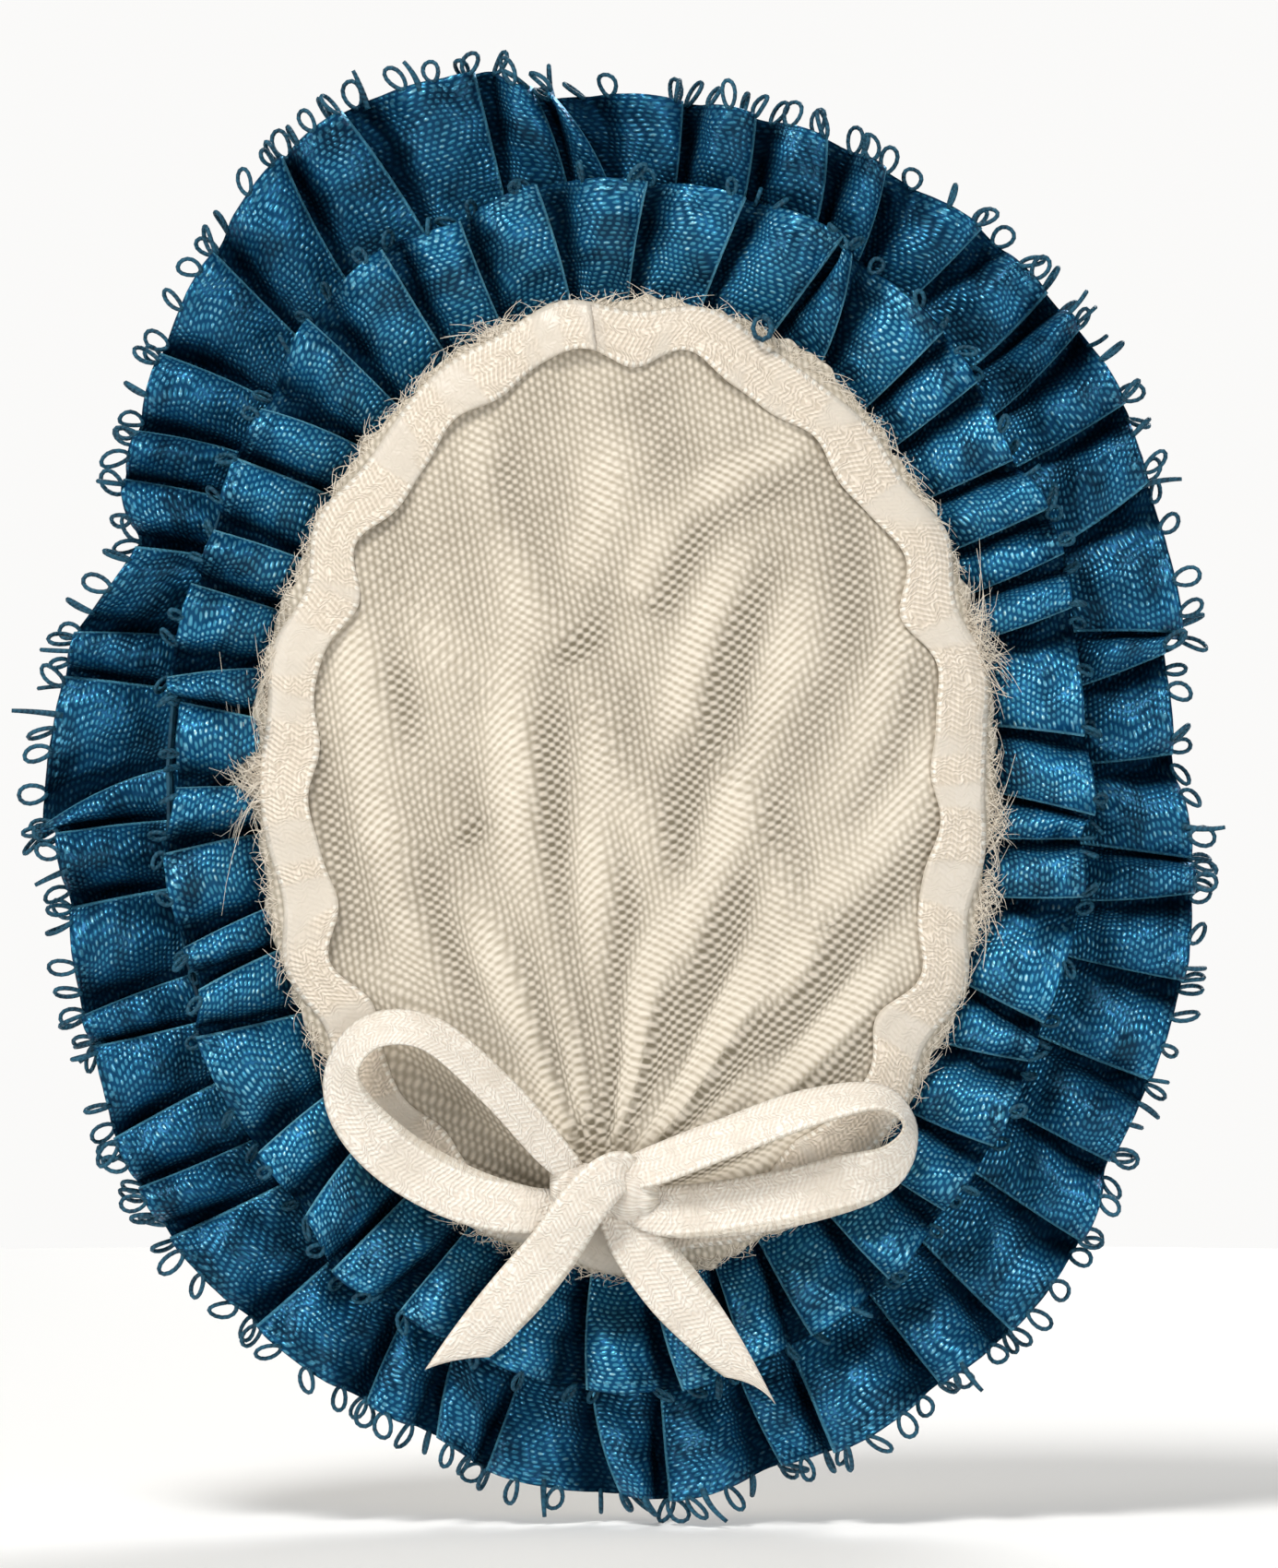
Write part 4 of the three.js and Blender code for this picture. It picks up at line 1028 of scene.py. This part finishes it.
def fibre(luck, share, length):
    place, out = silk_edge.at(share)
    out = np.append(out, 0)
    side = np.array([out[1], -out[0], 0])
    foot = np.append(place, 0) - out * luck.uniform(0.1, 0.7)
    foot[2] = float(silk_up(foot[:2])) + 0.08
    t = np.linspace(0, 1, 7)[:, None]
    lift = np.array([0, 0, 1]) * luck.uniform(-0.6, 0.35)
    bend = side * luck.normal(0, 0.8) + lift - out * luck.uniform(0, 0.5)
    wave = side * 0.12 * np.sin(t * luck.uniform(2, 7) + luck.random() * 6)
    return foot + length * (out * t + side * luck.normal(0, 0.5) * t + bend * t**2 + wave)


def fray_paths():
    luck = np.random.default_rng(51)
    paths = [fibre(luck, luck.random(), luck.uniform(0.5, 1.25)) for _ in range(EDGE_FIBRES)]
    for angle, spread, count, length in TUFTS:
        for _ in range(count):
            share = silk_edge.share_at(angle + luck.normal(0, spread))
            paths.append(fibre(luck, share, length * luck.uniform(0.45, 1.0)))
    return paths


paths = fray_paths()
fibre_radius = np.linspace(0.032, 0.012, 7)
fray = tube_piece("silk_fray", paths, [fibre_radius] * len(paths), FRAY, "root", sides=4)
print("fibres", len(paths))

# %% [markdown]
# The trim is one length of the narrow ribbon, sewn round just inside the raw edge. It is a
# little longer than the line it follows, so it wanders from side to side and its inner edge
# stands up in soft scallops. Its ends lap over each other near the top. It is a grid like the
# pleats, laid on the silk's surface function.

# %% Trim ribbon
TRIM_INSET = 2.05
TRIM_COLUMNS, TRIM_ROWS = 560, 9


def trim_grid():
    luck = np.random.default_rng(61)
    start, lap = silk_edge.share_at(352), 0.012
    share = start + np.linspace(-lap, 1 + lap, TRIM_COLUMNS)
    place, out = silk_edge.grown(-TRIM_INSET).at(share)
    waves = np.zeros(TRIM_COLUMNS)
    for count, size in ((5, 0.2), (11, 0.16), (17, 0.34), (23, 0.14)):
        waves += size * np.sin(2 * math.pi * (count * share + luck.random()))
    scallop = 0.22 * np.sin(2 * math.pi * (17 * share + 0.3))
    scallop = scallop + 0.16 * np.sin(2 * math.pi * (29 * share + 0.1))
    curl = 0.5 + 0.5 * np.sin(2 * math.pi * (17 * share + 0.55))
    t = np.linspace(0, 1, TRIM_ROWS)[:, None]
    across = (t - 0.5) * NARROW_WIDTH - scallop * (1 - t) ** 2
    seen = place + out * (across + waves)[..., None]
    base = silk_up(seen) + 0.24
    crown = 0.14 * (1 - (2 * t - 1) ** 2) + 0.34 * curl * (1 - t) ** 3
    lapped = 0.3 * smoothstep(share - start, 1 - lap, 1 - lap / 2) * np.ones_like(t)
    points = np.concatenate([seen, (base + crown + lapped)[..., None]], -1)
    along = np.broadcast_to((share - share[0]) * silk_edge.grown(-TRIM_INSET).length, base.shape)
    lay = np.stack([along, t * NARROW_WIDTH * np.ones_like(base), np.zeros_like(base)], -1)
    return points, lay


points, lay = trim_grid()
trim = make_piece("trim_strip", points, grid_faces(*points.shape[:2]), TRIM_SATIN, "root", lay, 0.16)
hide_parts("trim_ribbon")
print("trim is", round(lay[0, -1, 0]), "mm of ribbon")

# %% [markdown]
# The bow is the same ribbon, in five pieces as the frame has it: two loops, two tails and a
# knot. Each loop and tail is a strip along a path that leaves the knot gathered, opens to the
# ribbon's width, and tilts where it turns. The knot is a short band wrapped round the middle,
# with soft creases. The tails can be lifted, but here each is one fixed piece on no body.

# %% Bow's loops
knot_low, knot_high = front_box("bow_knot")
knot = (knot_low + knot_high) / 2
BOW_THICKNESS = 0.16
BOW_ROWS, LOOP_COLUMNS, TAIL_COLUMNS = 9, 110, 60
# Right and up from the knot, height in front of the felt, width, tilt in degrees.
LEFT_LOOP = [
    (-1.2, 0.9, 8.6, 1.5, 10), (-2.9, 2.6, 9.2, 2.3, 25), (-6.1, 6.2, 9.7, 2.8, 40),
    (-10.3, 9.8, 9.6, 2.9, 45), (-13.9, 10.0, 9.3, 3.1, 48), (-15.8, 7.8, 9.0, 3.2, 50),
    (-15.2, 4.9, 8.7, 3.4, 25), (-12.4, 2.0, 8.5, 3.6, -2), (-8.4, -0.2, 8.5, 3.6, -14),
    (-4.4, -1.2, 8.5, 3.0, -14), (-1.2, -0.8, 8.3, 1.8, -5),
]
RIGHT_LOOP = [
    (1.3, 0.8, 8.5, 1.6, -10), (3.4, 1.5, 9.0, 2.6, -25), (8.0, 3.3, 9.6, 3.0, -38),
    (13.2, 5.2, 9.9, 3.1, -45), (17.6, 5.9, 9.8, 2.9, -60), (19.5, 4.2, 9.4, 2.4, -70),
    (18.2, 1.6, 8.9, 3.1, -30), (14.6, 0.2, 8.8, 3.6, 8), (9.6, -0.9, 8.7, 3.7, 18),
    (4.6, -1.3, 8.6, 3.3, 16), (1.4, -0.7, 8.3, 2.0, 5),
]


def bow_strip(name, node, knots, body):
    knots = np.array(knots, float)
    knots[:, :2] += knot[:2]
    points, lay = strip_grid(knots, LOOP_COLUMNS, BOW_ROWS, 0.1)
    points[..., 2] = np.maximum(points[..., 2], silk_up(points[..., :2]) + 0.35)
    piece = make_piece(name, points, grid_faces(*points.shape[:2]), BOW_SATIN, body, lay, BOW_THICKNESS)
    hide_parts(node)
    print(name, "is", round(float(lay[0, -1, 0]), 1), "mm long")
    return piece


bow_strip("left_loop", "bow_left_loop", LEFT_LOOP, "root")
bow_strip("right_loop", "bow_right_loop", RIGHT_LOOP, "root")

# %% Bow's tails
# Two distances below the knot; the point of each tail's spine at each is found and not used.
BLENDED = (2.4, 5.0)
# The tails are widest in the middle and end in a slanting cut. The left one comes over the knot.
TAILS = {
    "left": [
        (1.9, 1.1, 8.2, 1.8, 0), (1.5, 1.3, 9.25, 2.5, 0), (0.4, 0.6, 9.85, 2.9, 0),
        (-0.9, -0.9, 9.8, 3.1, 4), (-2.6, -3.5, 8.9, 3.3, 0), (-4.8, -6.2, 8.5, 3.5, 6),
        (-7.2, -8.8, 8.5, 3.1, 0), (-8.9, -10.6, 8.6, 2.4, -6),
    ],
    "right": [
        (0.9, -1.0, 8.2, 2.2, 0), (2.6, -3.4, 8.4, 3.4, 0), (5.1, -6.6, 8.5, 3.7, -6),
        (8.0, -10.0, 8.5, 2.6, 0), (9.9, -12.2, 8.6, 1.3, 6),
    ],
}


def slant_end(points, side, slant):
    """Draws one corner of a strip's end out and the other in, to a slanting cut."""
    rows, columns = points.shape[:2]
    share = np.linspace(-0.5, 0.5, rows)[:, None, None] * side
    ending = smoothstep(np.linspace(0, 1, columns), 0.72, 1.0)[:, None]
    heading = unit(points[:, -1:] - points[:, -6:-5])
    return points + heading * share * slant * ending


def bow_tail(side, sign):
    knots = np.array(TAILS[side], float)
    knots[:, :2] += knot[:2]
    points, lay = strip_grid(knots, TAIL_COLUMNS, BOW_ROWS, 0.12)
    points = slant_end(points, sign, 3.4)
    name = f"{side}_tail_strip"
    piece = make_piece(name, points, grid_faces(*points.shape[:2]), BOW_SATIN, None, lay, BOW_THICKNESS)
    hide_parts(f"bow_{side}_tail")
    spine = points[BOW_ROWS // 2]
    below = knot[1] - spine[:, 1]
    start, end = (spine[np.argmax(below > drop)] for drop in BLENDED)
    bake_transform(piece)
    print(name, "is", round(float(lay[0, -1, 0]), 1), "mm long")


bow_tail("left", -1)
bow_tail("right", 1)


# %% Bow's knot
# Each crease: where it lies across the knot, how far it sways, its width and its depth.
CREASES = [(0.3, 0.22, 0.12, 1.0), (-0.42, -0.15, 0.09, 0.7), (0.72, 0.1, 0.08, 0.8)]


def knot_grid():
    """A band wrapped round the middle of the bow: columns round it, rows across."""
    half = (knot_high - knot_low) / 2
    t = np.linspace(-1, 1, 33)[:, None]
    turn = np.linspace(0, 2 * math.pi, 85)[None, :-1]
    pinch = np.sqrt(1 - 0.86 * np.abs(t) ** 3)
    fold = sum(
        deep * np.exp(-(((t - at - sway * np.cos(turn)) / wide) ** 2)) for at, sway, wide, deep in CREASES
    )
    round_by = pinch * (1 - 0.12 * fold + 0.04 * np.sin(7 * t + 2.0 * turn))
    sine, cosine = np.sin(turn), np.cos(turn)
    up = np.sign(cosine) * np.abs(cosine) ** 0.8 * round_by * half[1] * 0.74
    near = np.sign(sine) * np.abs(sine) ** 0.85 * round_by * half[2]
    right = (0.5 + t * half[0] * 1.2 + 0.35 * np.sin(turn * 2 + 1.0) * (1 - t**2)) * np.ones_like(turn)
    points = knot + np.stack([right, up - 0.1 * right, near], -1)
    wrapped, across = turn * half[1] * np.ones_like(t), (t + 1) * half[0] * 0.6 * np.ones_like(turn)
    lay = np.stack([wrapped, across, 0 * near], -1)
    return points, lay


points, lay = knot_grid()
knot_piece = make_piece(
    "knot_band", points, grid_faces(*points.shape[:2], ring=True), BOW_SATIN, "root", lay, BOW_THICKNESS
)
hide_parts("bow_knot")
print("knot", (knot_high - knot_low).round(1))

# %% [markdown]
# The back is a piece of wool felt, whip-stitched over its edge to the card with a two-ply
# thread. The felt dips a little at each stitch. It is a closed sheet, made as one profile from
# the middle of its back round the rim to the middle of its front, and swept round the oval.

# %% Felt back
felt_low, felt_high = front_box("felt_back")
felt_edge = oval_of("felt_back")
STITCHES = 36
STITCH_BITE = 1.8


def felt_points():
    luck = np.random.default_rng(71)
    spokes = 432
    share = np.arange(spokes) / spokes
    edge, out = felt_edge.at(share)
    dip = np.exp(-((((share * STITCHES) % 1) - 0.5) / 0.09) ** 2)
    thick = felt_high[2] - felt_low[2]
    inset = np.array([60, 24, 14, 8, 4.5, 2.6, 1.6, 0.9, 0.35, 0.05, 0.0, 0.05, 0.4, 1.2, 3, 8, 60.0])
    height = np.array([0, 0, 0, 0, 0, 0.0, 0.02, 0.08, 0.24, 0.5, 0.65, 0.8, 1.05, 1.18, 1.2, 1.2, 1.2])
    height = height / height[-1] * thick
    rows = []
    for back, up in zip(inset, height):
        reach = np.maximum(1 - back / np.linalg.norm(edge, axis=1), 0.01)[:, None]
        pulled = out * (0.16 * dip * (back < 2))[:, None]
        wander = out * (luck.normal(0, 0.035, spokes) * (back < 6))[:, None]
        lift = felt_low[2] + up + np.where(up < thick / 2, 0.16, 0) * dip * (0.3 < back < 2.5)
        rows.append(np.concatenate([edge * reach - pulled + wander, (lift * np.ones(spokes))[:, None]], 1))
    return np.array(rows)


points = felt_points()
rows, spokes = points.shape[:2]
faces = grid_faces(rows, spokes, ring=True)
faces.append(list(reversed(range(spokes))))
faces.append([(rows - 1) * spokes + s for s in range(spokes)])
felt = make_piece("felt_backing", points, faces, FELT, "root")
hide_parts("felt_back")
print("felt is", round(float(points[..., 2].max() - points[..., 2].min()), 2), "mm thick")

# %% Whip stitches
# The ivory thread: how far its two strands lie from its middle, their turn, and a strand's radius.
PLY_RADIUS, PLY_TWIST, STRAND_RADIUS = 0.2, 0.9, 0.13
# One stitch: shares of its slant, millimetres in from the rim, and height over the rear face.
STITCH_MARKS = [
    (-1.0, STITCH_BITE, 0.02), (-0.9, STITCH_BITE - 0.25, -0.17), (-0.2, 0.5, -0.2), (0.1, -0.08, 0.1),
    (0.3, -0.3, 0.6), (0.5, -0.1, 1.08), (0.8, 0.35, 1.25),
]


def stitch_paths():
    """Whip stitches: each slants over the felt's rim from its rear face to the card."""
    luck = np.random.default_rng(81)
    paths = []
    for k in range(STITCHES):
        middle = (k + 0.5) / STITCHES
        slant = 1.1 / felt_edge.length
        knots = []
        for ahead, inset, up in STITCH_MARKS:
            place, out = felt_edge.at(middle + ahead * slant + luck.normal(0, 0.0004))
            knots.append([*(place - out * inset), felt_low[2] + up])
        path = through(knots, 46)[0]
        paths += two_ply(path, PLY_RADIUS, PLY_TWIST)
    return paths


paths = stitch_paths()
stitches = tube_piece("whip_stitches", paths, [STRAND_RADIUS] * len(paths), IVORY_THREAD, "root", sides=5)
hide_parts("felt_whip_stitching")
print("stitches", STITCHES)


# %% Felt's stray fibres
FUZZ_FIBRES = 900


def fuzz_paths():
    """Short stray fibres on the felt's rear face and rim."""
    luck = np.random.default_rng(91)
    paths = []
    for _ in range(FUZZ_FIBRES):
        place, out = felt_edge.at(luck.random())
        inset = luck.random() ** 1.6 * 30
        foot = np.append(place * max(1 - inset / np.linalg.norm(place), 0.02), felt_low[2] - 0.01)
        way = unit(np.array([luck.normal(), luck.normal(), -abs(luck.normal(0, 0.25))]))
        bend = unit(np.array([luck.normal(), luck.normal(), 0.0]))
        t = np.linspace(0, 1, 5)[:, None]
        paths.append(foot + luck.uniform(0.4, 1.1) * (way * t * (1 - 0.5 * t) + bend * t**2 * 0.5))
    return paths


paths = fuzz_paths()
fuzz = tube_piece("felt_fuzz", paths, [0.02] * len(paths), FELT, "root", sides=3)

# %% [markdown]
# The bar pin keeps the shape it has in the frame, with its sharp edges eased so that they
# catch the light, and is lashed to the felt by three turns of thread through each hole. Cards
# and tacking threads are hidden or nearly so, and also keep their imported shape.

# %% Parts that keep their shape
def keep_part(node, finish, ease=0.0):
    piece = bpy.data.objects[node]
    for slot in piece.material_slots:
        slot.material = finish
    if ease:
        bevel = piece.modifiers.new("eased edges", "BEVEL")
        bevel.width, bevel.segments, bevel.limit_method = ease * MM, 2, "ANGLE"
        bevel.angle_limit = math.radians(40)


for node, ease in (("pin_bar", 0.12), ("pin_rivet", 0.08), ("pin_stem", 0.0), ("catch_sleeve", 0.08)):
    keep_part(node, NICKEL, ease)
for node in ("base_card", "centre_card"):
    keep_part(node, CARD)
for node in ("rear_ruffle_thread", "front_ruffle_thread"):
    keep_part(node, BLUE_THREAD)
print("kept the pin, the cards and the tacking threads")

# %% Lashings
bar_low, bar_high = front_box("pin_bar")
bar_up = (bar_low + bar_high)[1] / 2
LASHING_TURNS = (-0.42, 0.0, 0.42)  # each turn's place along the bar
BAR_FACE = 0.95
# One turn of the lashing: up or down from the bar's middle, as a share of its reach, and how far
# behind the felt's rear face it lies.
LASHED = [
    (1.0, -0.25), (0.93, 0.35), (0.78, BAR_FACE), (0.55, 1.25), (0.0, 1.32),
    (-0.55, 1.25), (-0.78, BAR_FACE), (-0.93, 0.35), (-1.0, -0.25),
]
for side in ("left", "right"):
    node = f"pin_lashing_{side}"
    low, high = front_box(node)
    across = (low + high)[0] / 2
    reach = (high - low)[1] / 2
    paths = []
    for turn in LASHING_TURNS:
        knots = [(across + turn * 0.6, bar_up + reach * up, 0.05 - behind) for up, behind in LASHED]
        knots[4] = (across + turn, knots[4][1], knots[4][2])
        paths += two_ply(through(knots, 60)[0], PLY_RADIUS, PLY_TWIST)
    piece = tube_piece(f"lashing_{side}", paths, [STRAND_RADIUS] * len(paths), IVORY_THREAD, "root", sides=5)
    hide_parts(node)
print("lashed with", 2 * len(LASHING_TURNS), "turns")

# %% [markdown]
# The rosette stands on a plain pale floor at its lowest point. The floor isn't part of it.

# %% Floor, sizes and finish
FLOOR_RADIUS, FLOOR_SIDES = 0.3, 96
low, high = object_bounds()
floor_mesh = bpy.data.meshes.new("floor")
turns = np.linspace(0, 2 * math.pi, FLOOR_SIDES + 1)[:-1]
corners = [(FLOOR_RADIUS * math.cos(turn), FLOOR_RADIUS * math.sin(turn), low.z) for turn in turns]
floor_mesh.from_pydata(corners, [], [range(FLOOR_SIDES)])
floor_look = {"Base Color": (0.9, 0.9, 0.89, 1), "Roughness": 0.9, "Specular IOR Level": 0.1}
floor_finish = Finish("plain floor", floor_look)
floor_mesh.materials.append(floor_finish.material)
floor = bpy.data.objects.new("floor", floor_mesh)
scene.collection.objects.link(floor)

print("visual size in mm", [round(s / MM, 1) for s in high - low])
